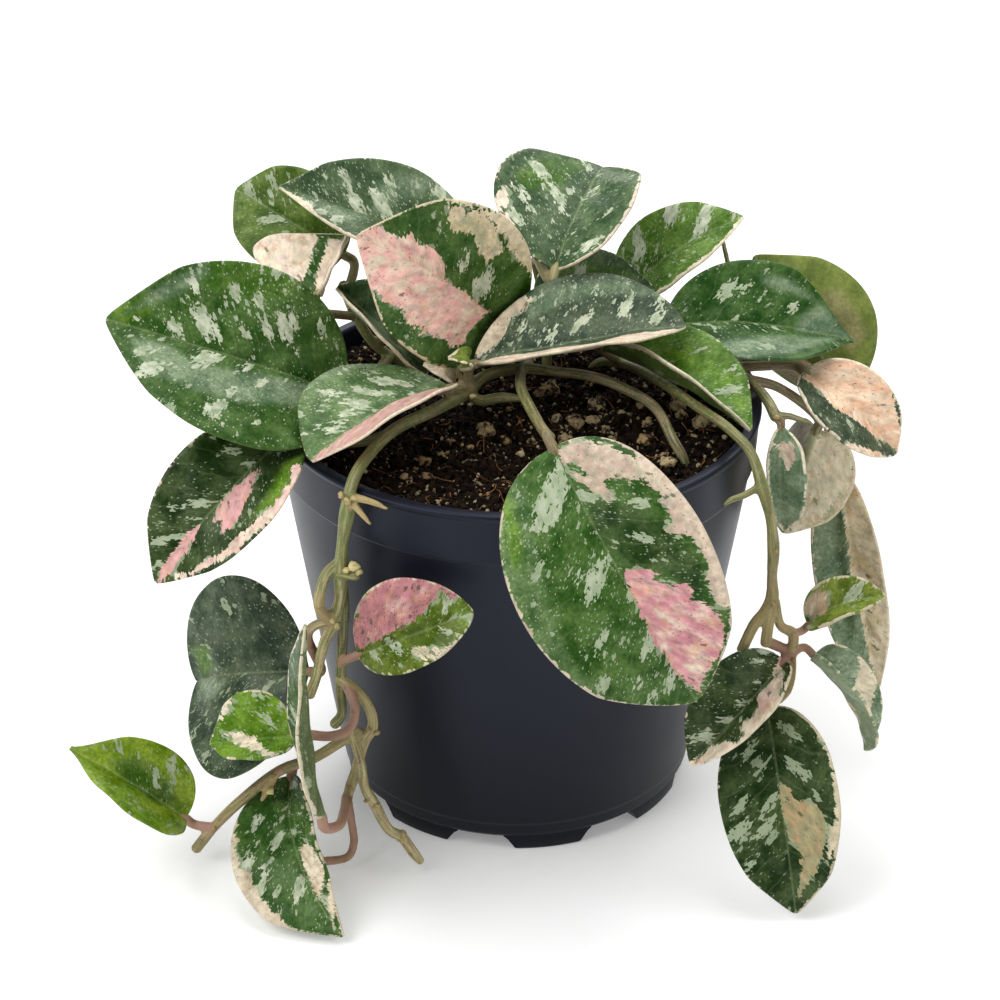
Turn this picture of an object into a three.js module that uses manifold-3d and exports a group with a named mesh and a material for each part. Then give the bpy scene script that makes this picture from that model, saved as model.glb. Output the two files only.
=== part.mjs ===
// A variegated wax plant (hoya) trailing out of a round nursery pot.
// Millimetres, +Z up. While it is built, the pot's axis is x = y = 0 and its feet stand on z = 0.
// The viewer of the reference photograph stands on the -Y side.
import * as THREE from "three";
import { mergeVertices } from "three/addons/utils/BufferGeometryUtils.js";
import Module from "manifold-3d";

const wasm = await Module();
wasm.setup();

// Driving dimensions of the pot.
const potHeight = 111;
const rimRadius = 63.5;
const rimBand = 14;
const lipWidth = 3.5;
const wallThickness = 1.3;
const shoulderRadius = 61.6;
const bottomRadius = 47.2;
const footHeight = 4;
const floorThickness = 1.8;
const footCount = 8;
const footTurn = 10.5;
const footAngle = 28;
const footOuterRadius = 46.3;
const footInnerRadius = 36;
const footRoot = 0.8;
const footTaper = 0.9;
const drainRadius = 4;
const centreDrainRadius = 5.6;
const drainSides = 16;
const drainRing = 30;
const potSegments = 40;

// Driving dimensions of the soil.
const soilTop = 106.5;
const fitGap = 0.3;
const stemHoleGap = 0.4;
const soilRings = 4;
const soilSegments = 30;
const pebbleCount = 18;
const pebbleSeed = 7;

// Driving dimensions of the foliage.
const bladeThickness = 1.5;
const marginThickness = 1.0;
const baseHalfWidth = 0.8;
const tipHalfWidth = 0.35;
const bladeSteps = 9;
const bladeStrips = 4;
const stemSides = 6;
const petioleStraight = 3;
const leafGap = 0.6;

const colours = {
  pot: 0x23262f,
  soil: 0x241a14,
  stemGreen: 0x7d8a4a,
  stemDark: 0x4b5234,
  deepGreen: 0x2f4d22,
  greyGreen: 0x53664f,
  brightGreen: 0x6d8f35,
  paleGreen: 0x8aa678,
  cream: 0xe6d3b4,
  pink: 0xdda59c,
  olive: 0x84863a,
  tan: 0xa8966b,
};

const roughness = { pot: 0.4, soil: 0.95, stem: 0.6, leaf: 0.35 };

// A direction by compass angle from the viewer's side (-Y) towards +X, and by height angle.
function direction([turn, height]) {
  const a = THREE.MathUtils.degToRad(turn);
  const h = THREE.MathUtils.degToRad(height);
  return new THREE.Vector3(Math.sin(a) * Math.cos(h), -Math.cos(a) * Math.cos(h), Math.sin(h));
}

// A leaf blade. Its midrib runs from base to tip, its upper side faces the given direction.
// arch lifts the middle of the midrib and sway moves it sideways. fold raises the two halves
// (degrees), halves makes one narrower than the other, cup curves them. A low blunt makes a broad
// base and a low taper a broad tip.
class Blade {
  constructor(name, colour, base, tip, width, faces, form = {}) {
    this.name = name;
    this.colour = colour;
    this.base = new THREE.Vector3(...base);
    this.tip = new THREE.Vector3(...tip);
    this.width = width;
    const { arch = 4, sway = 0, fold = [12, 12], halves = [1, 1] } = form;
    const { cup = 0.1, blunt = 0.58, taper = 0.68 } = form;
    Object.assign(this, { arch, sway, fold, halves, cup, blunt, taper });
    this.length = this.base.distanceTo(this.tip);
    this.along = this.tip.clone().sub(this.base).normalize();
    const toward = direction(faces);
    this.up = toward.addScaledVector(this.along, -toward.dot(this.along)).normalize();
    this.side = this.along.clone().cross(this.up);
    const peak = blunt / (blunt + taper);
    this.outlinePeak = Math.pow(peak, blunt) * Math.pow(1 - peak, taper);
  }

  halfWidth(u) {
    const outline = Math.pow(u, this.blunt) * Math.pow(1 - u, this.taper) / this.outlinePeak;
    return Math.max(this.width / 2 * outline, THREE.MathUtils.lerp(baseHalfWidth, tipHalfWidth, u));
  }

  // The point of the upper side at u along the midrib and t across, -1 at the left margin.
  // The cross-section stands square to the midrib, so it leans with the arch.
  point(u, t) {
    const bow = 4 * u * (1 - u);
    const slope = 4 * (1 - 2 * u);
    const tangent = this.along.clone().multiplyScalar(this.length)
      .addScaledVector(this.up, this.arch * slope)
      .addScaledVector(this.side, this.sway * slope)
      .normalize();
    const up = this.up.clone();
    up.addScaledVector(tangent, -up.dot(tangent)).normalize();
    const side = tangent.cross(up);
    const fold = THREE.MathUtils.degToRad(t < 0 ? this.fold[0] : this.fold[1]);
    const half = this.halfWidth(u) * (t < 0 ? this.halves[0] : this.halves[1]);
    const reach = Math.abs(t) * half;
    return this.base.clone()
      .addScaledVector(this.along, this.length * u)
      .addScaledVector(this.up, this.arch * bow)
      .addScaledVector(this.side, this.sway * bow)
      .addScaledVector(side, Math.sign(t) * reach * Math.cos(fold))
      .addScaledVector(up, reach * Math.sin(fold) + this.cup * half * t * t);
  }

  normal(u, t) {
    const step = 0.02;
    const u0 = Math.max(u - step, 0);
    const u1 = Math.min(u + step, 1);
    const t0 = Math.max(t - step, -1);
    const t1 = Math.min(t + step, 1);
    const alongSurface = this.point(u1, t).sub(this.point(u0, t));
    const acrossSurface = this.point(u, t1).sub(this.point(u, t0));
    return acrossSurface.cross(alongSurface).normalize();
  }

  // The direction in which the midrib leaves the petiole.
  startTangent() {
    return this.point(0.02, 0).sub(this.point(0, 0)).normalize();
  }

  // The middle of the blade's cut base, where the petiole ends.
  petioleEnd() {
    return this.base.clone()
      .addScaledVector(this.normal(0, 0), -bladeThickness / 2)
      .addScaledVector(this.startTangent(), -leafGap);
  }

  geometry() {
    const columns = bladeStrips + 1;
    const positions = [];
    const thicknessAt = (t) => THREE.MathUtils.lerp(bladeThickness, marginThickness, t * t);
    for (const below of [0, 1]) {
      for (let i = 0; i <= bladeSteps; i += 1) {
        const u = (1 - Math.cos(Math.PI * i / bladeSteps)) / 2;
        for (let j = 0; j < columns; j += 1) {
          const t = 2 * j / bladeStrips - 1;
          const p = this.point(u, t).addScaledVector(this.normal(u, t), -below * thicknessAt(t));
          positions.push(p.x, p.y, p.z);
        }
      }
    }
    const sheet = (bladeSteps + 1) * columns;
    const at = (i, j, below) => below * sheet + i * columns + j;
    const index = [];
    const quad = (a, b, c, d) => index.push(a, b, c, a, c, d);
    for (let i = 0; i < bladeSteps; i += 1) {
      for (let j = 0; j < bladeStrips; j += 1) {
        quad(at(i, j, 0), at(i, j + 1, 0), at(i + 1, j + 1, 0), at(i + 1, j, 0));
        index.push(at(i, j, 1), at(i + 1, j + 1, 1), at(i, j + 1, 1));
        index.push(at(i, j, 1), at(i + 1, j, 1), at(i + 1, j + 1, 1));
      }
      quad(at(i, 0, 0), at(i + 1, 0, 0), at(i + 1, 0, 1), at(i, 0, 1));
      const edge = bladeStrips;
      quad(at(i + 1, edge, 0), at(i, edge, 0), at(i, edge, 1), at(i + 1, edge, 1));
    }
    for (let j = 0; j < bladeStrips; j += 1) {
      quad(at(0, j + 1, 0), at(0, j, 0), at(0, j, 1), at(0, j + 1, 1));
      quad(at(bladeSteps, j, 0), at(bladeSteps, j + 1, 0), at(bladeSteps, j + 1, 1), at(bladeSteps, j, 1));
    }
    const geometry = new THREE.BufferGeometry();
    geometry.setAttribute("position", new THREE.Float32BufferAttribute(positions, 3));
    geometry.setIndex(index);
    return geometry;
  }
}

// Every blade of the plant: name, colour, base, tip, width, direction of its upper side, form.
const blades = [
  new Blade("leaf_back_left_round", colours.brightGreen, [-45, 18, 143], [-73, 28, 157], 27, [-10, 35]),
  new Blade("leaf_back_left_long", colours.greyGreen, [-12, 20, 146], [-60, 8, 166.5], 30, [0, 75],
    { fold: [3, 30], arch: -1, taper: 0.8 }),
  new Blade("leaf_left_folded_pink", colours.cream, [-51, -4, 142.3], [-44, 14, 150.5], 42, [-10, 50],
    { fold: [-10, 60], halves: [1, 0.3], arch: 2 }),
  new Blade("leaf_centre_pink", colours.pink, [-2.2, 14, 119], [-39.5, -16, 163.6], 43, [0, 25],
    { arch: 6, fold: [16, 2], halves: [0.92, 1], sway: 4, blunt: 0.9 }),
  new Blade("leaf_left_large", colours.deepGreen, [-44, -12, 118], [-102, -22, 144], 47, [0, 35],
    { arch: 4, fold: [32, 4], halves: [1.08, 1] }),
  new Blade("leaf_left_rim", colours.greyGreen, [-17, -14, 121], [-51, -42, 115], 38, [0, 80],
    { arch: 5, fold: [32, 3], halves: [1, 0.93], blunt: 0.75, taper: 0.5 }),
  new Blade("leaf_left_pink_streak", colours.deepGreen, [-56.5, -27, 116], [-90, -52, 86], 30, [-20, 25],
    { arch: 5, fold: [18, 5] }),
  new Blade("leaf_centre_tucked", colours.greyGreen, [-24, -1.2, 117.4], [-46, 1.8, 141.4], 24, [10, 60],
    { arch: 2, fold: [50, 52], blunt: 0.8 }),
  new Blade("bud_leaf_upper", colours.olive, [-13.6, -12, 125.2], [-17.5, -15, 129.6], 5, [0, 60]),
  new Blade("bud_leaf_lower", colours.tan, [-16, -6, 118.3], [-24, -6, 123.3], 7, [0, 60]),
  new Blade("leaf_centre_long", colours.greyGreen, [-11, -8, 125], [43, 0, 131.3], 35, [0, 80],
    { arch: 1.5, fold: [22, 26], blunt: 0.75, taper: 0.62 }),
  new Blade("leaf_centre_back", colours.deepGreen, [6, 15, 123.5], [36.5, 26, 129.3], 32, [0, 45],
    { arch: 1, halves: [1, 0.5], blunt: 0.45 }),
  new Blade("leaf_top", colours.greyGreen, [9.8, 12, 142], [23, 46, 155.5], 40, [-15, 40],
    { fold: [12, 20], halves: [1.12, 0.8], taper: 0.55 }),
  new Blade("leaf_top_right", colours.greyGreen, [28, 37, 122], [60, 38, 144.8], 27, [0, 65],
    { fold: [2, 10], halves: [1, 0.8], blunt: 0.45 }),
  new Blade("leaf_right_dark", colours.deepGreen, [39, 16, 124], [89, 20, 117], 33, [0, 58],
    { arch: 4.5, fold: [12, 22] }),
  new Blade("leaf_right_olive", colours.olive, [90.5, 28, 98.5], [64, 42, 131.5], 37, [180, 20],
    { arch: -2 }),
  new Blade("leaf_right_pink", colours.pink, [75.5, 9, 113.8], [99.3, -2, 95], 30, [10, 55],
    { fold: [12, 22], halves: [0.66, 1] }),
  new Blade("leaf_right_rim", colours.paleGreen, [23, 8, 121.9], [59, -22, 113], 28, [0, 80],
    { fold: [18, 52], halves: [1, 0.8], arch: 3 }),
  new Blade("leaf_right_pale", colours.tan, [79, 6, 98], [71, -2, 71], 28, [165, 10],
    { fold: [60, 15] }),
  new Blade("leaf_right_behind", colours.greyGreen, [67, -17, 110.5], [68.5, -24, 84.5], 18, [-20, 10],
    { fold: [20, 30], halves: [0.9, 0.35], arch: 2 }),
  new Blade("leaf_right_tan", colours.tan, [86.7, 16, 80], [97.5, -12, 28.5], 23, [0, 10],
    { fold: [20, 5], halves: [0.58, 1] }),
  new Blade("leaf_right_small", colours.olive, [74, -41, 67], [93, -44, 77], 13, [0, 60],
    { fold: [30, 30] }),
  new Blade("leaf_right_grey", colours.paleGreen, [76, -45, 60], [90, -50, 34.5], 22, [30, 20],
    { fold: [5, 75], halves: [0.5, 1], arch: 5, sway: -2.5, blunt: 0.32 }),
  new Blade("leaf_right_speckled", colours.deepGreen, [68, -46, 59], [44, -62, 38], 25, [10, 40],
    { fold: [50, 8], halves: [0.6, 1], arch: 6 }),
  new Blade("leaf_right_lowest", colours.deepGreen, [63.8, -51, 48], [71, -77, 2.5], 31, [0, 30],
    { fold: [30, 0], blunt: 0.5 }),
  new Blade("leaf_front_large", colours.deepGreen, [8.5, -52, 124], [43.6, -76, 66.5], 52, [10, 25],
    { arch: 9, sway: 2, fold: [25, 0], halves: [0.9, 1], cup: 0, blunt: 0.48, taper: 0.58 }),
  new Blade("leaf_front_small", colours.pink, [-40, -56, 67], [-11, -66, 86], 27, [0, 30],
    { fold: [5, 20], halves: [1.08, 0.62], blunt: 0.75 }),
  new Blade("leaf_low_left_dark", colours.greyGreen, [-54, -44, 54.5], [-84, -28, 41], 49, [-20, 42],
    { arch: 5, fold: [0, 12], halves: [1.12, 1], taper: 0.8 }),
  new Blade("leaf_low_left_bright", colours.brightGreen, [-56, -61.5, 46.5], [-78, -59.5, 42.8], 24, [0, 35],
    { fold: [35, 5], halves: [0.5, 1], taper: 0.8 }),
  new Blade("leaf_low_left_edge", colours.greyGreen, [-50, -74, 30.6], [-52, -72, 85.8], 20, [-80, 10],
    { fold: [10, 10], arch: 2 }),
  new Blade("leaf_low_left_tip", colours.brightGreen, [-86, -53, 15], [-115, -50, 35], 24, [-10, 50],
    { fold: [50, 5], blunt: 0.5, taper: 0.8 }),
  new Blade("leaf_low_front", colours.deepGreen, [-59, -46, 23.5], [-44, -87, 3], 33, [-10, 50],
    { fold: [40, -5], halves: [0.5, 1], arch: 3, sway: 4.5 }),
  new Blade("leaf_low_hidden", colours.deepGreen, [-50, -56.5, 4.5], [-68, -62, 3.5], 13, [0, 85],
    { arch: 1, fold: [5, 5] }),
  new Blade("leaf_rear_upper", colours.deepGreen, [-13, 73, 106], [-42, 84, 76], 34, [-170, 25]),
  new Blade("leaf_rear_right", colours.greyGreen, [4, 73, 98], [32, 83, 70], 34, [165, 20]),
  new Blade("leaf_rear_low", colours.brightGreen, [-5, 71, 66], [-10, 80, 28], 30, [180, 15],
    { fold: [20, 8] }),
];

const bladeNamed = (name) => blades.find((blade) => blade.name === name);

// A closed tube along a smooth route of [x, y, z, radius] points, both ends capped.
function tube(route, { sides = stemSides, stepsPerSpan = 2, grow = 0 } = {}) {
  const points = route.map(([x, y, z]) => new THREE.Vector3(x, y, z));
  const curve = new THREE.CatmullRomCurve3(points, false, "centripetal");
  const spans = route.length - 1;
  const steps = spans * stepsPerSpan;
  const centres = [];
  const radii = [];
  for (let i = 0; i <= steps; i += 1) {
    const place = i / stepsPerSpan;
    const span = Math.min(Math.floor(place), spans - 1);
    centres.push(curve.getPoint(i / steps));
    radii.push(THREE.MathUtils.lerp(route[span][3], route[span + 1][3], place - span) + grow);
  }
  const tangents = centres.map((_, i) => {
    const before = centres[Math.max(i - 1, 0)];
    const after = centres[Math.min(i + 1, steps)];
    return after.clone().sub(before).normalize();
  });
  const positions = [];
  let across = new THREE.Vector3(0.31, 0.52, 0.79);
  centres.forEach((centre, i) => {
    across = across.addScaledVector(tangents[i], -across.dot(tangents[i])).normalize();
    const beside = tangents[i].clone().cross(across);
    for (let k = 0; k < sides; k += 1) {
      const angle = 2 * Math.PI * k / sides;
      const p = centre.clone()
        .addScaledVector(across, Math.cos(angle) * radii[i])
        .addScaledVector(beside, Math.sin(angle) * radii[i]);
      positions.push(p.x, p.y, p.z);
    }
  });
  positions.push(...centres[0].toArray(), ...centres[steps].toArray());
  const index = [];
  for (let i = 0; i < steps; i += 1) {
    for (let k = 0; k < sides; k += 1) {
      const a = i * sides + k;
      const b = i * sides + (k + 1) % sides;
      index.push(a, b, b + sides, a, b + sides, a + sides);
    }
  }
  const first = (steps + 1) * sides;
  const last = steps * sides;
  for (let k = 0; k < sides; k += 1) {
    const next = (k + 1) % sides;
    index.push(first, next, k);
    index.push(first + 1, last + k, last + next);
  }
  const geometry = new THREE.BufferGeometry();
  geometry.setAttribute("position", new THREE.Float32BufferAttribute(positions, 3));
  geometry.setIndex(index);
  return geometry;
}

// A three.js geometry as a manifold solid, and back.
function solid(geometry) {
  const bare = geometry.index ? geometry.clone() : geometry;
  bare.deleteAttribute("normal");
  bare.deleteAttribute("uv");
  const merged = mergeVertices(bare, 1e-4);
  return new wasm.Manifold(new wasm.Mesh({
    numProp: 3,
    vertProperties: new Float32Array(merged.attributes.position.array),
    triVerts: new Uint32Array(merged.index.array),
  }));
}

function fromSolid(shape) {
  const mesh = shape.getMesh();
  const geometry = new THREE.BufferGeometry();
  geometry.setAttribute("position", new THREE.BufferAttribute(mesh.vertProperties, 3));
  geometry.setIndex(new THREE.BufferAttribute(mesh.triVerts, 1));
  return geometry;
}

function fuse(geometries) {
  return fromSolid(geometries.map(solid).reduce((whole, piece) => whole.add(piece)));
}

// The route of a petiole from its stem to the base of the named blade.
function petiole(name, start, { radius = 1.5, via = [], straight = petioleStraight } = {}) {
  const blade = bladeNamed(name);
  const end = blade.petioleEnd();
  const approach = end.clone().addScaledVector(blade.startTangent(), -straight);
  return [
    [...start, radius],
    ...via.map((point) => [...point, radius * 0.9]),
    [...approach.toArray(), radius * 0.95],
    [...end.toArray(), radius],
  ];
}

// The vines. Each is one body of a stem with its side shoots, aerial roots and petioles.
// Their first points lie in the soil.
const vines = [
  {
    name: "vine_main",
    colour: colours.stemGreen,
    root: [[43, -30, 84, 1.9], [42.5, -29, 96, 1.9], [42, -28, 107, 1.9]],
    stem: [[39, -25, 112, 1.8], [35, -16, 116, 1.8], [28, -10, 118, 1.8], [20, -5, 119, 1.8],
      [11, -2, 119, 1.9], [1, 0, 119, 2.1], [-8, -2, 118, 2.2], [-13, -9, 117, 2.8],
      [-20, -18, 117, 2.4], [-31, -30, 117, 2.3], [-37, -42, 116.2, 2.2], [-39.8, -48, 114.3, 2.2],
      [-41.5, -51.5, 110, 2.2], [-42, -52, 105.5, 2.8], [-43.3, -51.6, 97, 2.1], [-44, -51, 88, 2.7],
      [-44.5, -50.5, 80, 2.1], [-46, -50, 74, 2.6], [-49, -50, 66, 2], [-51, -50, 57, 1.8],
      [-53, -50, 51, 1.6]],
    shoots: [
      [[-44, -51, 88, 1.6], [-41, -53, 88.6, 1.9], [-39.6, -53.6, 89, 1.2]],
      [[-44.3, -50, 91, 1.2], [-47.4, -52, 88.5, 1.4], [-49, -53, 84, 1.5], [-49.4, -53, 79, 1.5],
        [-46.5, -50.5, 73.5, 1.4]],
      [[-42, -52, 105.5, 1], [-38, -54.5, 106.8, 0.9], [-35, -56, 106, 0.7], [-33, -57, 104.8, 0.5]],
      [[1, 0, 119, 1.9], [1, -14, 120.5, 1.7], [4, -30, 121.5, 1.7], [6.5, -42, 123, 2],
        [7.8, -47.5, 124.2, 2.1]],
      [[-13, -9, 117, 1.5], [-10, -8, 114, 1.5], [-4, -4, 112.6, 1.4], [1, -4, 112.4, 1]],
      [[-43.8, -50, 85, 1.7], [-43.6, -47.5, 78, 1.7], [-44, -48, 70, 1.7], [-44.5, -49, 62, 1.8],
        [-45, -50, 53, 1.9], [-45, -50, 45, 1.9], [-47, -50, 42, 1.4]],
      [[-45, -50, 56, 1.9], [-42, -52, 55, 1.8], [-39, -53, 52, 1.8], [-37, -53, 47, 1.8],
        [-37, -53, 43, 2.1], [-39, -53, 39, 1.8], [-41, -53, 32, 1.8], [-43, -53, 25, 2.1],
        [-44, -53, 21, 1.7]],
      [[-40, -53, 42, 1.6], [-45, -53, 39, 1.6], [-52, -53, 34, 1.6], [-61, -53, 30, 1.7],
        [-72, -53, 20, 1.6], [-79, -53, 12, 1.9], [-84, -53, 5, 1.4]],
      [[-42, -53.5, 41, 1.2], [-40, -57, 35, 1.3], [-39, -57, 27, 1.3], [-37, -57, 23, 1.6],
        [-33, -57, 14, 1.3], [-30, -57, 12, 1.6], [-27, -57, 7, 1.4], [-25, -57, 4, 1.1]],
      [[-62, -53, 28.5, 0.8], [-64, -54, 25, 0.8], [-66, -55, 22, 0.6]],
    ],
    petioles: [
      petiole("leaf_low_left_dark", [-46, -50, 73.5],
        { via: [[-51, -50, 72], [-53, -48.5, 68]], radius: 1.4 }),
      petiole("leaf_front_large", [7, -44, 123.4], { radius: 2 }),
      petiole("leaf_left_rim", [-13, -9, 117.5], { radius: 1.6 }),
      petiole("leaf_left_pink_streak", [-30, -29, 117],
        { via: [[-38, -29.5, 113.6], [-48, -28.7, 112.5], [-53, -28.2, 114]], radius: 1.3, straight: 1 }),
      petiole("leaf_centre_long", [-12, -7, 117.5], { radius: 1.4, straight: 1 }),
      petiole("leaf_centre_pink", [1, 0, 118.5], { via: [[3, 9, 116]], radius: 1.6 }),
      petiole("leaf_centre_tucked", [-13, -8, 117]),
      petiole("bud_leaf_upper", [-13, -9, 118], { radius: 0.8, straight: 1 }),
      petiole("bud_leaf_lower", [-12, -8, 118], { radius: 0.8, straight: 1 }),
      petiole("leaf_front_small", [-44.5, -49.5, 61], { radius: 1.2 }),
      petiole("leaf_low_left_bright", [-43.5, -51, 55.5],
        { via: [[-41, -57, 52], [-42.5, -60, 47.5], [-47, -61, 46]], radius: 1.4 }),
      petiole("leaf_low_left_edge", [-44, -53, 22],
        { via: [[-44.3, -60, 22.3], [-45.5, -69, 24]], radius: 1.5 }),
      petiole("leaf_low_left_tip", [-79, -53, 12], { radius: 1.3 }),
      petiole("leaf_low_front", [-61, -53, 30], { radius: 1.4 }),
      petiole("leaf_low_hidden", [-44, -53, 22],
        { via: [[-43, -53.5, 14], [-42.5, -54.5, 8], [-44, -55.5, 4.5]], radius: 1.2, straight: 1.5 }),
    ],
  },
  {
    name: "vine_back_left",
    colour: colours.stemGreen,
    root: [[-20, 14, 84, 2], [-21, 14, 96, 2], [-23, 13, 107, 2]],
    stem: [[-30, 11, 115, 1.9], [-37, 8, 122, 1.9], [-42, 8, 131, 1.8], [-45, 11, 138, 1.7]],
    shoots: [],
    petioles: [
      petiole("leaf_back_left_round", [-44, 10, 135], { radius: 1.3 }),
      petiole("leaf_back_left_long", [-37, 8, 122], { via: [[-22, 16, 132]], radius: 1.4 }),
      petiole("leaf_left_folded_pink", [-42, 8, 130], { radius: 1.2 }),
      petiole("leaf_left_large", [-33, 9.5, 118], { radius: 1.7 }),
    ],
  },
  {
    name: "vine_back_right",
    colour: colours.stemGreen,
    root: [[6, 26, 84, 2], [7, 25, 96, 2], [8, 24, 107, 2]],
    stem: [[8, 26, 116, 1.9], [7.5, 29.5, 124, 1.8], [6, 30, 131, 1.7], [5, 27.5, 137, 1.5]],
    shoots: [],
    petioles: [
      petiole("leaf_top", [5, 28, 136.5], { via: [[5.5, 20, 140.3]], radius: 1.5 }),
      petiole("leaf_top_right", [7.8, 29, 122], { via: [[17, 35, 120]], radius: 1.4 }),
      petiole("leaf_centre_back", [8.5, 24, 115], { via: [[4, 19, 119]], radius: 1.3, straight: 2 }),
    ],
  },
  {
    name: "vine_rear",
    colour: colours.stemGreen,
    root: [[-4, 44, 84, 1.9], [-4, 45, 96, 1.9], [-4, 47, 107, 1.9]],
    stem: [[-5, 54, 114, 1.9], [-6, 62, 116, 1.9], [-6.5, 68.5, 112, 2], [-6, 69.5, 103, 2.3],
      [-5, 69, 90, 1.9], [-4, 68, 78, 2.1], [-4, 67, 70, 1.5]],
    shoots: [
      [[-5, 69, 90, 0.9], [-1, 69.5, 91.5, 0.8], [3, 69, 92, 0.5]],
    ],
    petioles: [
      petiole("leaf_rear_upper", [-6.3, 69, 108], { radius: 1.4 }),
      petiole("leaf_rear_right", [-6, 69.5, 102], { radius: 1.4 }),
      petiole("leaf_rear_low", [-4, 68, 77], { radius: 1.3 }),
    ],
  },
  {
    name: "vine_right",
    colour: colours.stemGreen,
    root: [[16, 30, 84, 2], [18, 28, 96, 2], [21, 25, 107, 2]],
    stem: [[27, 15, 113, 1.9], [35, 1, 116, 1.9], [46, -17.5, 116.8, 1.9], [53, -29, 116.7, 1.9],
      [58, -35, 113.5, 1.9], [61, -41, 106, 2.3], [63, -43, 99, 1.9], [64, -44, 91, 2.3],
      [64, -44, 83, 1.9], [64, -45, 76, 2.5], [60, -46, 70, 1.6], [57, -46, 62, 1.4]],
    shoots: [
      [[64, -45, 76, 1.7], [63.5, -46, 70, 1.6], [63, -46, 64, 1.5]],
      [[65, -44.5, 76, 1.2], [67, -44, 68, 1.2], [70, -44, 66, 1.4], [70, -44, 59, 1.3],
        [70, -45.5, 55.5, 1.3], [69, -48, 51.5, 1.2], [66.5, -50, 49.5, 1.2]],
      [[61, -40, 107, 1], [56, -42, 105, 0.9], [53, -44, 105, 0.8], [51, -45, 104, 0.5]],
    ],
    petioles: [
      petiole("leaf_right_rim", [27, 15, 113.5], { radius: 1.5 }),
      petiole("leaf_right_speckled", [63, -46, 65], { radius: 1.4 }),
      petiole("leaf_right_small", [70, -44, 66], { radius: 1.1 }),
      petiole("leaf_right_grey", [70, -44.2, 60], { radius: 1.1 }),
      petiole("leaf_right_lowest", [69, -48, 51.5], { radius: 1.2 }),
    ],
  },
  {
    name: "vine_right_back",
    colour: colours.stemDark,
    root: [[40, 28, 84, 2], [42, 27, 96, 2], [46, 24, 107, 2]],
    stem: [[53, 16, 114, 1.9], [59, 4, 115, 1.9], [64, -9, 114.6, 2], [66, -15, 112.6, 2.2]],
    shoots: [
      [[53, 16, 114.4, 0.9], [57, 30, 118, 0.8], [57.5, 34, 130, 0.7], [55, 33, 136, 0.5]],
      [[65.5, -14.5, 112.8, 1], [69, -14, 112.6, 0.9], [72, -13.5, 111.4, 0.8], [75, -13, 110, 0.5]],
    ],
    petioles: [
      petiole("leaf_right_dark", [53, 16, 114.4], { radius: 1.4 }),
      petiole("leaf_right_pink", [57, 9, 114.8], { radius: 1.4 }),
      petiole("leaf_right_pale", [60, 2, 114.8], { via: [[68, 3, 112]], radius: 1.4 }),
      petiole("leaf_right_olive", [56, 11, 114.6],
        { via: [[70, 21, 112.5], [83, 25, 103], [90.5, 27, 95]], radius: 1.4, straight: 1.5 }),
      petiole("leaf_right_behind", [66, -15, 112.6], { radius: 1.1, straight: 1 }),
      petiole("leaf_right_tan", [56, 12, 114.4], { via: [[68, 15, 112.5], [77, 18, 104], [83, 19, 93]],
        radius: 1.4 }),
    ],
  },
];

// The pot: one lathe profile from the floor's underside over the lip and down the inside.
function potGeometry() {
  const underside = footHeight;
  const floorTop = footHeight + floorThickness;
  const bandFoot = potHeight - rimBand;
  const slope = (shoulderRadius - bottomRadius) / (bandFoot - underside);
  const outerAt = (z) => bottomRadius + slope * (z - underside);
  const profile = [
    [0, underside],
    [bottomRadius - 1.5, underside],
    [bottomRadius, underside + 1.3],
    [outerAt(bandFoot - 0.5), bandFoot - 0.5],
    [rimRadius - 1.2, bandFoot],
    [rimRadius - 0.4, potHeight - 1.8],
    [rimRadius, potHeight - 1],
    [rimRadius - 0.8, potHeight],
    [rimRadius - lipWidth + 0.5, potHeight],
    [rimRadius - lipWidth, potHeight - 0.7],
    [outerAt(bandFoot) - wallThickness, bandFoot],
    [outerAt(floorTop) - wallThickness, floorTop],
    [0, floorTop],
  ];
  const shell = new THREE.LatheGeometry(profile.map(([r, z]) => new THREE.Vector2(r, z)), potSegments);
  shell.rotateX(Math.PI / 2);
  let pot = solid(shell);
  for (let i = 0; i < footCount; i += 1) {
    pot = pot.add(solid(footGeometry(i)));
  }
  const drains = [[0, 0, centreDrainRadius]];
  for (let i = 0; i < footCount / 2; i += 1) {
    const a = THREE.MathUtils.degToRad(footTurn + (2 * i + 0.5) * 360 / footCount);
    drains.push([drainRing * Math.sin(a), -drainRing * Math.cos(a), drainRadius]);
  }
  for (const [x, y, radius] of drains) {
    const drain = new THREE.CylinderGeometry(radius, radius, 3 * floorThickness, drainSides);
    drain.rotateX(Math.PI / 2);
    drain.translate(x, y, footHeight + floorThickness / 2);
    pot = pot.subtract(solid(drain));
  }
  return fromSolid(pot);
}

// One foot: a curved block under the floor, a little narrower towards the middle of the pot.
function footGeometry(number) {
  const middle = THREE.MathUtils.degToRad(footTurn + number * 360 / footCount - 90);
  const half = THREE.MathUtils.degToRad(footAngle / 2);
  const outline = new THREE.Shape();
  outline.absarc(0, 0, footOuterRadius, middle - half, middle + half, false);
  outline.absarc(0, 0, footInnerRadius, middle + half * footTaper, middle - half * footTaper, true);
  return new THREE.ExtrudeGeometry(outline, {
    depth: footHeight + footRoot,
    bevelEnabled: false,
    curveSegments: 4,
  });
}

// A fixed sequence of draws between 0 and 1.
function draws(seed) {
  let state = seed;
  return () => {
    state = (state * 16807) % 2147483647;
    return state / 2147483647;
  };
}

// The height of the uneven soil surface.
function soilHeight(x, y) {
  return soilTop
    + 0.7 * Math.sin(x * 0.21 + 1.3) * Math.cos(y * 0.17)
    + 0.5 * Math.sin(x * 0.43 - y * 0.37)
    + 0.4 * Math.cos(y * 0.58 + x * 0.11);
}

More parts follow.
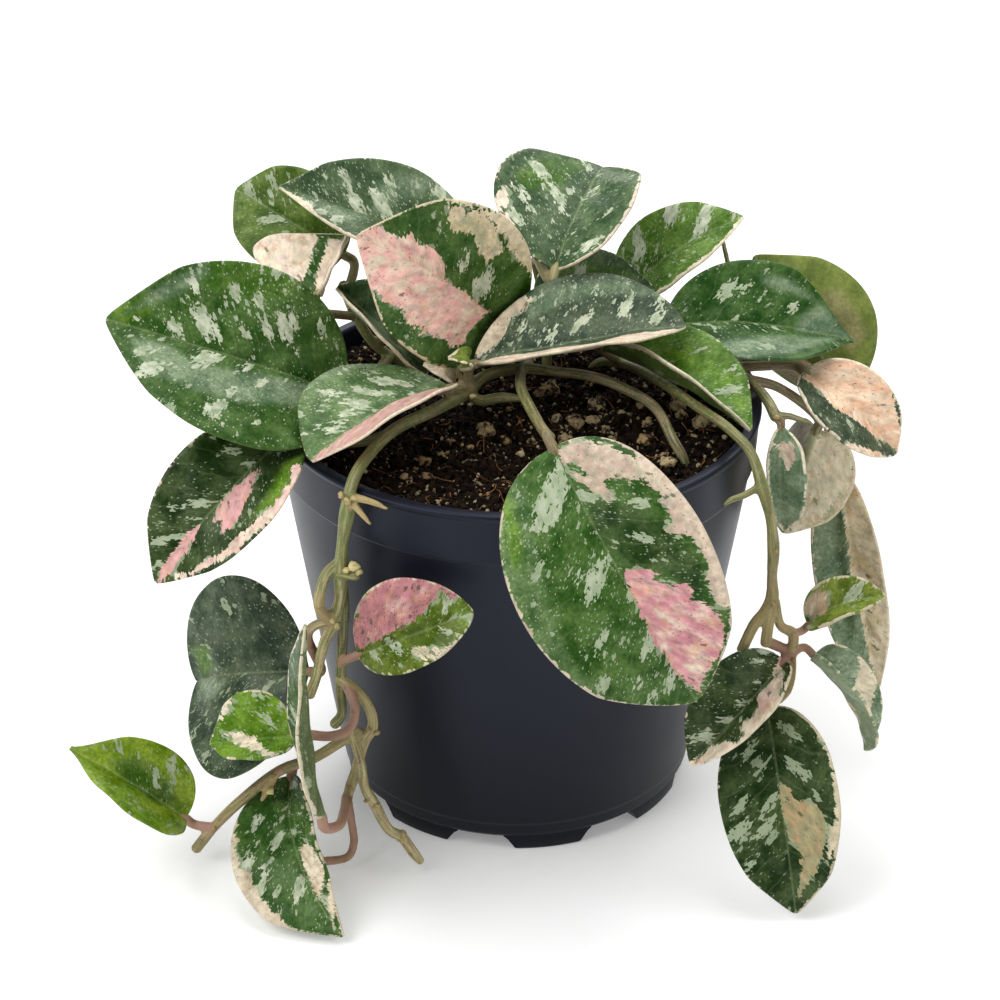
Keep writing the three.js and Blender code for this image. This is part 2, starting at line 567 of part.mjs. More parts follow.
// The soil: a plug that fills the pot, uneven on top, with pebbles and holes for the stems.
function soilGeometry() {
  const bandFoot = potHeight - rimBand;
  const bottom = footHeight + floorThickness + fitGap;
  const slope = (shoulderRadius - bottomRadius) / (bandFoot - footHeight);
  const flat = Math.cos(Math.PI / potSegments);
  const innerAt = (z) => (bottomRadius + slope * (z - footHeight) - wallThickness) * flat - fitGap;
  const topRadius = Math.min(innerAt(bandFoot), (rimRadius - lipWidth) * flat - fitGap);
  const rings = [[0, bottom], [innerAt(bottom), bottom], [innerAt(bandFoot), bandFoot]];
  for (let i = 0; i < soilRings; i += 1) {
    rings.push([topRadius * (1 - i / soilRings), null]);
  }
  rings.push([0, null]);
  const profile = rings.map(([r, z]) => new THREE.Vector2(r, z === null ? soilTop : z));
  const plug = new THREE.LatheGeometry(profile, soilSegments);
  plug.rotateX(Math.PI / 2);
  const p = plug.attributes.position;
  for (let i = 0; i < p.count; i += 1) {
    if (p.getZ(i) > (bandFoot + soilTop) / 2) {
      p.setZ(i, soilHeight(p.getX(i), p.getY(i)));
    }
  }
  let soil = solid(plug);
  const draw = draws(pebbleSeed);
  for (let i = 0; i < pebbleCount; i += 1) {
    const size = 1.6 + 1.8 * draw();
    const reach = (topRadius - 6) * Math.sqrt(draw());
    const angle = 2 * Math.PI * draw();
    const x = reach * Math.cos(angle);
    const y = reach * Math.sin(angle);
    const pebble = new THREE.IcosahedronGeometry(size, 0);
    pebble.scale(1, 0.8 + 0.3 * draw(), 0.7);
    pebble.rotateZ(angle);
    pebble.translate(x, y, soilHeight(x, y) + size * 0.1);
    soil = soil.add(solid(pebble));
  }
  for (const vine of vines) {
    const next = vine.stem[0];
    const hole = tube([[...vine.root[0].slice(0, 2), vine.root[0][2] - 2, vine.root[0][3]],
      ...vine.root.slice(1), next], { grow: stemHoleGap });
    soil = soil.subtract(solid(hole));
  }
  return fromSolid(soil);
}

const plant = new THREE.Group();

function addPart(name, geometry, color, gloss) {
  const material = new THREE.MeshStandardMaterial({ color, roughness: gloss, metalness: 0 });
  const mesh = new THREE.Mesh(geometry, material);
  mesh.name = name;
  plant.add(mesh);
}

addPart("pot", potGeometry(), colours.pot, roughness.pot);
addPart("soil", soilGeometry(), colours.soil, roughness.soil);
for (const vine of vines) {
  const tubes = [
    tube([...vine.root, ...vine.stem]),
    ...vine.shoots.map((route) => tube(route, { stepsPerSpan: 1 })),
    ...vine.petioles.map((route) => tube(route)),
  ];
  addPart(vine.name, fuse(tubes), vine.colour, roughness.stem);
}
for (const blade of blades) {
  addPart(blade.name, blade.geometry(), blade.colour, roughness.leaf);
}

// The finished group stands with the bottom centre of its box at the origin.
const box = new THREE.Box3().setFromObject(plant);
plant.position.set(-(box.min.x + box.max.x) / 2, -(box.min.y + box.max.y) / 2, -box.min.z);

export default plant;
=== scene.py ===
import math
import bmesh
import bpy
import numpy as np
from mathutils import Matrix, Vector, kdtree, noise


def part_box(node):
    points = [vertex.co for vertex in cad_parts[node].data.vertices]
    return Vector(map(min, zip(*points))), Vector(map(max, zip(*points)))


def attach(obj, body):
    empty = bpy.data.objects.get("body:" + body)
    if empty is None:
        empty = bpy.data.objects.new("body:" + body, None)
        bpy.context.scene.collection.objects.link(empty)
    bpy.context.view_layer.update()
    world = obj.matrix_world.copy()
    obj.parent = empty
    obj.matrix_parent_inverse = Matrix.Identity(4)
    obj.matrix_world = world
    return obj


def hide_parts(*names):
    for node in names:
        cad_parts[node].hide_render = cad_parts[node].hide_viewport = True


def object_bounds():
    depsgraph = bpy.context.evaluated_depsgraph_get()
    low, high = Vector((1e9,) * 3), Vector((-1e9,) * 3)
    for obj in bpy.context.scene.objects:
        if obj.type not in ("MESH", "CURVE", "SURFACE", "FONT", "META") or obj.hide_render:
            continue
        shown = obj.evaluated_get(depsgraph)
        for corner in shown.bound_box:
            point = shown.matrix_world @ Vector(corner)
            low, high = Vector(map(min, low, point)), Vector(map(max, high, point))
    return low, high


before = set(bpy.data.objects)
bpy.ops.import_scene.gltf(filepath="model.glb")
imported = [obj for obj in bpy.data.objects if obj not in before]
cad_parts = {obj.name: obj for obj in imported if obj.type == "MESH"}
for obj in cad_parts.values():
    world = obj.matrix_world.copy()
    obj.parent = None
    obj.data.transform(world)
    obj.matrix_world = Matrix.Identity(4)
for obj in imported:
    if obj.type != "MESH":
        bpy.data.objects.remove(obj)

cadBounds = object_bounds()
potLow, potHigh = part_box("pot")
axisX = (potLow.x + potHigh.x) / 2      # the pot's axis, which all tables below are measured from
axisY = (potLow.y + potHigh.y) / 2
cadLow, cadHigh = (np.array(v) for v in cadBounds)
rng = np.random.default_rng(11)


def toFrame(points):
    # millimetres from the pot's axis to metres in the model's frame
    return np.asarray(points, float) * 0.001 + np.array([axisX, axisY, 0.0])


def unit(v):
    return v / np.maximum(np.linalg.norm(v, axis=-1, keepdims=True), 1e-9)


def onCircle(radius, angle):
    # a point round the pot's axis, from the viewer's side towards the right
    return radius * math.sin(angle), -radius * math.cos(angle)


def linear(hexColour):
    # a web colour as the linear values that the shader sockets take
    c = [int(hexColour[i:i + 2], 16) / 255 for i in (1, 3, 5)]
    return tuple(x / 12.92 if x <= 0.04045 else ((x + 0.055) / 1.055) ** 2.4 for x in c)


def palette(**hexColours):
    return {name: linear(hexColour) for name, hexColour in hexColours.items()}


def placed(name, data):
    # a new object in the scene
    obj = bpy.data.objects.new(name, data)
    bpy.context.scene.collection.objects.link(obj)
    return obj


def newPiece(name, verts, faces, material=None, inside=True):
    # inside keeps every point within the solids' box, which a curled margin could pass by a hair
    verts = np.clip(np.asarray(verts, float), cadLow, cadHigh) if inside else verts
    mesh = bpy.data.meshes.new(name)
    mesh.from_pydata([tuple(v) for v in verts], [], faces)
    mesh.validate()
    mesh.update()
    mesh.shade_smooth()
    if material:
        mesh.materials.append(material)
    return placed(name, mesh)


def joined(parts):
    # the points and faces of several parts, as one list each
    verts, faces = [], []
    for partVerts, partFaces in parts:
        base = len(verts)
        verts += list(partVerts)
        faces += [tuple(i + base for i in face) for face in partFaces]
    return verts, faces


def bandFaces(bands, count, start=0):
    # the quads between rings of count points each
    spans = [(start + i * count + k, start + i * count + (k + 1) % count) for i in range(bands) for k in range(count)]
    return [(a, b, b + count, a + count) for a, b in spans]


def store(mesh, name, kind, values):
    # one value for each point, which the materials read by this name
    layer = mesh.attributes.new(name, kind, "POINT")
    field = {"FLOAT": "value", "FLOAT_VECTOR": "vector", "FLOAT_COLOR": "color"}[kind]
    layer.data.foreach_set(field, np.asarray(values, np.float32).ravel())


def baked(obj):
    # the evaluated shape as a plain mesh, with the modifiers gone
    graph = bpy.context.evaluated_depsgraph_get()
    mesh = bpy.data.meshes.new_from_object(obj.evaluated_get(graph))
    old = obj.data
    obj.modifiers.clear()
    obj.data = mesh
    mesh.name = obj.name
    bpy.data.meshes.remove(old)
    return obj


class Wires:
    # short ways to add and join nodes in one tree
    def __init__(self, tree):
        self.tree = tree

    def put(self, socket, value):
        if isinstance(value, bpy.types.NodeSocket):
            self.tree.links.new(value, socket)
        elif value is not None:
            socket.default_value = value

    def node(self, kind, values, **settings):
        # values go to the node's sockets by name or number
        node = self.tree.nodes.new(kind)
        for key, value in settings.items():
            setattr(node, key, value)
        for key, value in values.items():
            self.put(node.inputs[key], value)
        return node

    def math(self, operation, a, b=None, clamp=False):
        return self.node("ShaderNodeMath", {0: a, 1: b}, operation=operation, use_clamp=clamp).outputs[0]

    def times(self, a, b):
        return self.math("MULTIPLY", a, b)

    def plus(self, a, b, clamp=False):
        return self.math("ADD", a, b, clamp)

    def minus(self, a, b):
        return self.math("SUBTRACT", a, b)

    def larger(self, a, b):
        return self.math("MAXIMUM", a, b)

    def ramp(self, value, low, high, outLow=0.0, outHigh=1.0, smooth=True):
        values = dict(enumerate((value, low, high, outLow, outHigh)))
        kind = "SMOOTHSTEP" if smooth else "LINEAR"
        return self.node("ShaderNodeMapRange", values, interpolation_type=kind).outputs[0]

    def noise(self, vector, scale, detail=3.0, roughness=0.55, colour=False):
        values = {"Vector": vector, "Scale": scale, "Detail": detail, "Roughness": roughness}
        return self.node("ShaderNodeTexNoise", values).outputs["Color" if colour else "Fac"]

    def voronoi(self, vector, scale, flat=False):
        node = self.node("ShaderNodeTexVoronoi", {"Vector": vector, "Scale": scale},
                         voronoi_dimensions="2D" if flat else "3D")
        return node.outputs["Distance"], node.outputs["Color"]

    def vector(self, operation, a, b):
        return self.node("ShaderNodeVectorMath", {0: a, 1: b}, operation=operation).outputs["Vector"]

    def mix(self, fac, a, b, blend="MIX"):
        a, b = ((*c, 1.0) if isinstance(c, tuple) and len(c) == 3 else c for c in (a, b))
        return self.node("ShaderNodeMix", {"Factor": fac, "A": a, "B": b}, data_type="RGBA",
                         blend_type=blend).outputs["Result"]

    def split(self, vector):
        return self.node("ShaderNodeSeparateXYZ", {0: vector}).outputs

    def channels(self, colour):
        return self.node("ShaderNodeSeparateColor", {0: colour}).outputs

    def join(self, x, y, z):
        return self.node("ShaderNodeCombineXYZ", {0: x, 1: y, 2: z}).outputs[0]

    def attribute(self, name):
        return self.node("ShaderNodeAttribute", {}, attribute_name=name).outputs

    def place(self):
        return self.node("ShaderNodeTexCoord", {}).outputs["Object"]

    def group(self, group, **values):
        return self.node("ShaderNodeGroup", values, node_tree=group).outputs

    def bump(self, height, distance, strength=1.0):
        values = {"Strength": strength, "Distance": distance, "Height": height}
        return self.node("ShaderNodeBump", values).outputs["Normal"]


def nodeGroup(name, inputs, outputs, treeKind="ShaderNodeTree"):
    # inputs: the socket, its kind and its usual value
    group = bpy.data.node_groups.new(name, treeKind)
    for socketName, (kind, value) in inputs.items():
        socket = group.interface.new_socket(name=socketName, in_out="INPUT", socket_type="NodeSocket" + kind)
        if value is not None:
            socket.default_value = value
    for socketName, kind in outputs.items():
        group.interface.new_socket(name=socketName, in_out="OUTPUT", socket_type="NodeSocket" + kind)
    w = Wires(group)
    return w, w.node("NodeGroupInput", {}).outputs, w.node("NodeGroupOutput", {}).inputs


def newMaterial(name, **fixed):
    # the material, its wires and the sockets of its shader, with these inputs set
    material = bpy.data.materials.new(name)
    material.use_nodes = True
    shader = material.node_tree.nodes["Principled BSDF"]
    for key, value in fixed.items():
        shader.inputs[key.replace("_", " ")].default_value = value
    return material, Wires(material.node_tree), shader.inputs


def makeMottleGroup():
    # slow and fine change of tone, in the piece's own coordinates
    w, given, out = nodeGroup("toneMottle", {
        "Place": ("Vector", (0, 0, 0)),
        "Colour": ("Color", (0.5, 0.5, 0.5, 1)),
        "Size": ("Float", 100.0),
        "Amount": ("Float", 0.3),
    }, {"Colour": "Color"})
    slow = w.noise(given["Place"], given["Size"], 4.0, 0.6)
    shade = w.ramp(slow, 0.25, 0.75, w.minus(1.0, given["Amount"]), w.plus(1.0, given["Amount"]), smooth=False)
    w.put(out["Colour"], w.mix(1.0, given["Colour"], w.join(shade, shade, shade), "MULTIPLY"))
    return w.tree


splash = {
    "sideShift": 7.3,           # sets the tears of one half of the leaf apart from the other's
    "drawn": 0.55,              # how far the tears are drawn out across the leaf
    "coarse": 0.4,
    "fine": 1.1,
    "soft": 0.08,               # mm
}


def makeSplashGroup():
    # A mask with a torn edge. Field is how deep a point lies inside it, in mm. Place is the foot of the
    # lateral vein, the distance from the midrib and the leaf's own number, so the tears follow the veins.
    w, given, out = nodeGroup("leafSplash", {
        "Place": ("Vector", (0, 0, 0)),
        "Field": ("Float", 0.0),
        "Tear": ("Float", 2.0),
        "Fine": ("Float", 2.0),
        "Shift": ("Float", 0.0),
    }, {"Mask": "Float"})
    x, y, z = w.split(given["Place"])
    seed = w.plus(w.plus(z, w.times(w.math("SIGN", y), splash["sideShift"])), given["Shift"])
    drawn = w.join(x, w.times(w.math("ABSOLUTE", y), splash["drawn"]), seed)
    coarse = w.times(w.minus(w.noise(drawn, splash["coarse"], 2.0), 0.5), given["Tear"])
    fine = w.times(w.minus(w.noise(drawn, splash["fine"], 2.0), 0.5), given["Fine"])
    depth = w.plus(given["Field"], w.plus(coarse, fine))
    w.put(out["Mask"], w.ramp(depth, -splash["soft"], splash["soft"]))
    return w.tree


# silver flecks: scale, how far they are drawn out along the veins, raggedness, reach, share, softness
fleckKinds = {
    "Blotches": (0.2, 0.7, 2.8, 0.34, 0.15, 0.02),
    "Flakes": (0.5, 0.7, 2.0, 0.28, 0.15, 0.05),
    "Specks": (1.3, 0.8, 0.8, 0.26, 0.26, 0.08),
}


def makeFleckGroup():
    # one mask for each kind of fleck, in crowds that both halves of a leaf have at different places
    w, given, out = nodeGroup("leafFlecks", {
        "Place": ("Vector", (0, 0, 0)),
        "Density": ("Float", 0.5),
        "Shift": ("Float", 0.0),
    }, dict.fromkeys(fleckKinds, "Float"))
    x, y, z = w.split(given["Place"])
    seed = w.plus(w.plus(z, w.times(w.math("SIGN", y), 3.7)), given["Shift"])
    across = w.math("ABSOLUTE", y)
    crowd = w.ramp(w.noise(w.join(x, across, seed), 0.11, 2.0), 0.3, 0.7, 0.1, 1.9, smooth=False)
    density = w.times(given["Density"], crowd)
    for name, (scale, drawn, ragged, reach, share, soft) in fleckKinds.items():
        flat = w.join(w.plus(x, w.times(seed, 5.1)), w.plus(w.times(across, drawn), w.times(seed, 3.3)), seed)
        torn = w.vector("SUBTRACT", w.noise(flat, 2.2 / ragged ** 0.5, 2.0, colour=True), (0.5, 0.5, 0.5))
        bent = w.vector("ADD", flat, w.vector("MULTIPLY", torn, (ragged, ragged, 0)))
        distance, cell = w.voronoi(bent, scale, flat=True)
        over = w.minus(w.plus(w.split(cell)[0], w.times(density, share)), 1.0)
        size = w.math("MINIMUM", w.times(over, 6.0), reach)
        w.put(out[name], w.ramp(w.minus(size, distance), 0.0, soft))
    return w.tree


toneMottle = makeMottleGroup()
leafSplash = makeSplashGroup()
leafFlecks = makeFleckGroup()

leafLook = {
    "midThickness": 1.4,        # mm
    "edgeThickness": 0.8,
    "tipHalf": 0.3,
    "baseHalf": 0.8,
    "rim": 0.3,                 # how far the rounded margin stands out
    "crease": 0.07,             # how soft the fold along the midrib is
    "groove": 0.4,              # depth of the midrib's channel on the upper side
    "rib": 0.45,                # height of the midrib under the leaf
    "wave": 0.35,
    "rowsPerMm": 1.5,
    "rowLimits": (16, 84),
    "columns": 22,              # on each side of the midrib
    "farOut": 9.0,              # mm, the depth of a point that is in no patch
    "cloudSize": 150.0,         # clouds and mottle of the green, per metre
    "mottleSize": 1100.0,
    "creamSize": 500.0,
    # share of pale green in the hazy clouds: painted sheen
    "sheenHaze": 0.12,
    "veinSpacing": 6.0,         # mm along the midrib between lateral veins
    "veinWaver": 7.0,
    "veinShare": 0.07,
    "gloss": (0.3, 0.42),
    "relief": 0.00012,
    "shade": (0.5, 0.6, 0.5),   # what the darkest clouds of green keep of their colour
    **palette(silver="#d3d8bf", silverDull="#98a787", cream="#eadcc2", burnt="#cf9d74", veinPale="#a9b583",
              speck="#3b4426", under="#848c58"),
}

# pale paints the grey sheen of the wax: where it lies as a patch it is painted sheen
tones = palette(
    deep="#365f18", dark="#1c3a07", moss="#567021", grey="#4c6444", slate="#3f5040", bright="#5a8026",
    sage="#5f7c4c", lime="#6c9412", olive="#738422", pale="#8d9f84", tan="#b8a67a", rose="#fbdcc4", vivid="#1e5003",
    fern="#5a6e00", acid="#86a10c",
)

blushes = palette(
    cream="#eadcc2", shell="#efd6cb", coral="#f0b0aa", rose="#c8868f", mauve="#b97c80", peach="#e2b798",
    straw="#cbbb8e", blossom="#dba6a4", buff="#b3a084", khaki="#9f9770", dusk="#b99f8e",
)

# what a leaf has unless its own row says otherwise
usualLeaf = {
    "arch": 4,                  # mm that the midrib bows up
    "sway": 0,                  # mm that it bows sideways
    "fold": (12, 12),           # degrees that the left and the right half rise
    "halves": (1, 1),           # share of the width that each half has
    "cup": 0.1,
    "blunt": 0.58,              # how full the base and the tip are
    "taper": 0.68,
    "point": 0.45,              # how far the tip is drawn in
    "notch": 0,
    "shine": 0.6,               # how bright the silver is
    "dots": 0.45,               # how many dark dots lie in the pale patches
    "blush": "peach",           # colour of the pink patches, and how much of them has faded to cream
    "fade": 0.4,
    "pale": "cream",            # colour of the cream patches, and how much of them is plain cream
    "creamy": 0.7,
}


def leafRow(base, tip, width, faces, tone, fleck, margin, **own):
    # base, tip, width in mm. faces: compass turn and height of the upper side. fleck: silver density. margin: mm
    # of cream at the left and the right edge, seen along the midrib.
    return {**usualLeaf, "base": base, "tip": tip, "width": width, "faces": faces, "tone": tone, "fleck": fleck,
            "margin": margin, **own}


leaves = {
    "leaf_back_left_round": leafRow((-45, 18, 143), (-73, 28, 157), 27, (-10, 35), "moss", 0.6, (-1, -1), shine=0.3),
    "leaf_back_left_long": leafRow((-12, 20, 146), (-60, 8, 166.5), 30, (0, 75), "grey", 1.25, (0.5, -0.3),
        fold=(3, 30), arch=-1, taper=0.8, shine=1),
    "leaf_left_folded_pink": leafRow((-51, -4, 142.3), (-44, 14, 150.5), 42, (-10, 50), "deep", 0.2, (0.8, 0.5),
        fold=(-10, 60), halves=(1, 0.3), arch=2, blush="shell", fade=0.42, pale="shell", creamy=0.3),
    "leaf_centre_pink": leafRow((-2.2, 14, 119), (-39.5, -16, 163.6), 43, (0, 25), "deep", 0.35, (0.1, 0.2), arch=6,
        fold=(16, 2), halves=(0.92, 1), sway=4, blunt=0.9, blush="coral", fade=0.38, shine=0.9, dots=0.55,
        pale="straw", creamy=0.5),
    "leaf_left_large": leafRow((-44, -12, 118), (-102, -22, 144), 47, (0, 35), "deep", 0.95, (-1, -0.5),
        fold=(32, 4), halves=(1.08, 1), shine=0.95),
    "leaf_left_rim": leafRow((-17, -14, 121), (-51, -42, 115), 38, (0, 80), "sage", 1.2, (0.4, -0.4), arch=5,
        fold=(32, 3), halves=(1, 0.93), blunt=0.75, taper=0.5, blush="blossom", fade=0.25, shine=1),
    "leaf_left_pink_streak": leafRow((-56.5, -27, 116), (-90, -52, 86), 30, (-20, 25), "dark", 0.8, (-1, -0.2),
        arch=5, fold=(18, 5), blush="blossom", fade=0.15, shine=0.35, pale="blossom"),
    "leaf_centre_tucked": leafRow((-24, -1.2, 117.4), (-46, 1.8, 141.4), 24, (10, 60), "grey", 0.3, (1.2, -0.1),
        arch=2, fold=(50, 52), blunt=0.8),
    "bud_leaf_upper": leafRow((-13.6, -12, 125.2), (-17.5, -15, 129.6), 5, (0, 60), "olive", 0, (0.2, 0.2)),
    "bud_leaf_lower": leafRow((-16, -6, 118.3), (-24, -6, 123.3), 7, (0, 60), "rose", 0, (0.5, 0.5)),
    "leaf_centre_long": leafRow((-11, -8, 125), (43, 0, 131.3), 35, (0, 80), "slate", 1, (-0.4, 0.5), arch=1.5,
        fold=(22, 26), blunt=0.75, taper=0.62, shine=0.8, blush="blossom", fade=0.5, point=0.1, pale="buff"),
    "leaf_centre_back": leafRow((6, 15, 123.5), (36.5, 26, 129.3), 32, (0, 45), "grey", 0.5, (-0.2, -0.3), arch=1,
        halves=(1, 0.5), blunt=0.45),
    "leaf_top": leafRow((9.8, 12, 142), (23, 46, 155.5), 40, (-15, 40), "grey", 1.1, (-0.1, 0.3), fold=(12, 20),
        halves=(1.12, 0.8), taper=0.55, shine=0.95, pale="shell"),
    "leaf_top_right": leafRow((28, 37, 122), (60, 38, 144.8), 27, (0, 65), "bright", 1.35, (-0.2, 0.8), fold=(2, 10),
        halves=(1, 0.8), blunt=0.45, shine=0.95),
    "leaf_right_dark": leafRow((39, 16, 124), (89, 20, 117), 33, (0, 58), "vivid", 0.6, (-1, -0.8), arch=4.5,
        fold=(12, 22), shine=0.45, point=0.8),
    "leaf_right_olive": leafRow((90.5, 28, 98.5), (64, 42, 131.5), 37, (180, 20), "olive", 0.05, (-1, -1), arch=-2),
    "leaf_right_pink": leafRow((75.5, 9, 113.8), (99.3, -2, 95), 30, (10, 55), "slate", 0.8, (0.2, 0.2),
        fold=(12, 22), halves=(0.66, 1), fade=0.36, dots=0.55),
    "leaf_right_rim": leafRow((23, 8, 121.9), (59, -22, 113), 28, (0, 80), "bright", 0.8, (-0.2, 0.9), fold=(18, 52),
        halves=(1, 0.8), arch=3, shine=0.5),
    "leaf_right_pale": leafRow((79, 6, 98), (71, -2, 71), 28, (165, 10), "rose", 0.1, (0.4, 0.4), fold=(60, 15),
        blush="shell", fade=0.6, pale="shell", creamy=0.9),
    "leaf_right_behind": leafRow((67, -17, 110.5), (68.5, -24, 84.5), 18, (-20, 10), "pale", 0.3, (0.1, 0.4),
        fold=(20, 30), halves=(0.9, 0.35), arch=2, blush="dusk"),
    "leaf_right_tan": leafRow((86.7, 16, 80), (97.5, -12, 28.5), 23, (0, 10), "pale", 0.3, (0.1, 0.1), fold=(20, 5),
        halves=(0.58, 1), blush="straw"),
    "leaf_right_small": leafRow((74, -41, 67), (93, -44, 77), 13, (0, 60), "olive", 0.8, (0.1, 0.1), fold=(30, 30),
        blush="buff", fade=0.3, pale="buff", creamy=0.3),
    "leaf_right_grey": leafRow((76, -45, 60), (90, -50, 34.5), 22, (30, 20), "pale", 1, (-0.1, -0.1), fold=(5, 75),
        halves=(0.7, 1), arch=5, sway=-1.2, blunt=0.32, blush="dusk", fade=0.6, shine=1),
    "leaf_right_speckled": leafRow((68, -46, 59), (44, -62, 38), 25, (10, 40), "dark", 0.9, (0.2, -0.3), fold=(50, 8),
        halves=(0.6, 1), arch=6, blush="blossom", fade=0.5, shine=0.9),
    "leaf_right_lowest": leafRow((63.8, -51, 48), (71, -77, 2.5), 31, (0, 30), "dark", 0.5, (0.1, -0.3), fold=(30, 0),
        blunt=0.5, blush="khaki", fade=0.12, shine=0.05, pale="khaki", creamy=0.3),
    "leaf_front_large": leafRow((8.5, -52, 124), (43.6, -76, 66.5), 52, (10, 25), "deep", 1, (0.2, 0.2), arch=9,
        sway=2, fold=(25, 0), halves=(0.9, 1), cup=0, blunt=0.48, taper=0.58, blush="rose", fade=0.32, shine=0.4,
        pale="dusk", dots=0.5, creamy=0.35),
    "leaf_front_small": leafRow((-40, -56, 67), (-11, -66, 86), 27, (0, 30), "fern", 0.7, (0, 0), fold=(5, 20),
        halves=(1.08, 0.62), blunt=0.75, blush="mauve", fade=0.2, pale="khaki", dots=1.9, point=0, shine=0.45),
    "leaf_low_left_dark": leafRow((-54, -44, 54.5), (-84, -28, 41), 49, (-20, 42), "slate", 0.9, (-1, -1), arch=5,
        fold=(0, 12), halves=(1.12, 1), taper=0.66, shine=0.3, notch=0.085, point=0),
    "leaf_low_left_bright": leafRow((-56, -61.5, 46.5), (-78, -59.5, 42.8), 24, (0, 35), "lime", 1, (-0.2, 0),
        fold=(35, 5), halves=(0.5, 1), taper=0.8, point=0.6),
    "leaf_low_left_edge": leafRow((-50, -74, 30.6), (-52, -72, 85.8), 20, (-80, 10), "grey", 1.2, (0.4, 0.4),
        fold=(10, 10), arch=2),
    "leaf_low_left_tip": leafRow((-86, -53, 15), (-115, -50, 35), 24, (-10, 50), "acid", 0.8, (-0.8, -0.8),
        fold=(50, 5), blunt=0.5, taper=0.8, shine=0.3, point=0.7),
    "leaf_low_front": leafRow((-59, -46, 23.5), (-44, -87, 3), 33, (-10, 50), "deep", 1, (0.1, 0.1), fold=(40, -5),
        halves=(0.5, 1), arch=3, sway=4.5, blush="buff", fade=0.5, shine=0.8, point=0.6, pale="buff", creamy=0.5),
    "leaf_low_hidden": leafRow((-50, -56.5, 4.5), (-68, -62, 3.5), 13, (0, 85), "deep", 0.4, (0.4, 0.4), arch=1,
        fold=(5, 5)),
    "leaf_rear_upper": leafRow((-13, 73, 106), (-42, 84, 76), 34, (-170, 25), "deep", 0.9, (0.1, -0.1), shine=0.7,
        blush="blossom"),
    "leaf_rear_right": leafRow((4, 73, 98), (32, 83, 70), 34, (165, 20), "grey", 1, (-0.2, 0.2), shine=0.8),
    "leaf_rear_low": leafRow((-5, 71, 66), (-10, 80, 28), 30, (180, 15), "bright", 0.8, (0.1, 0.1), fold=(20, 8),
        pale="peach"),
}
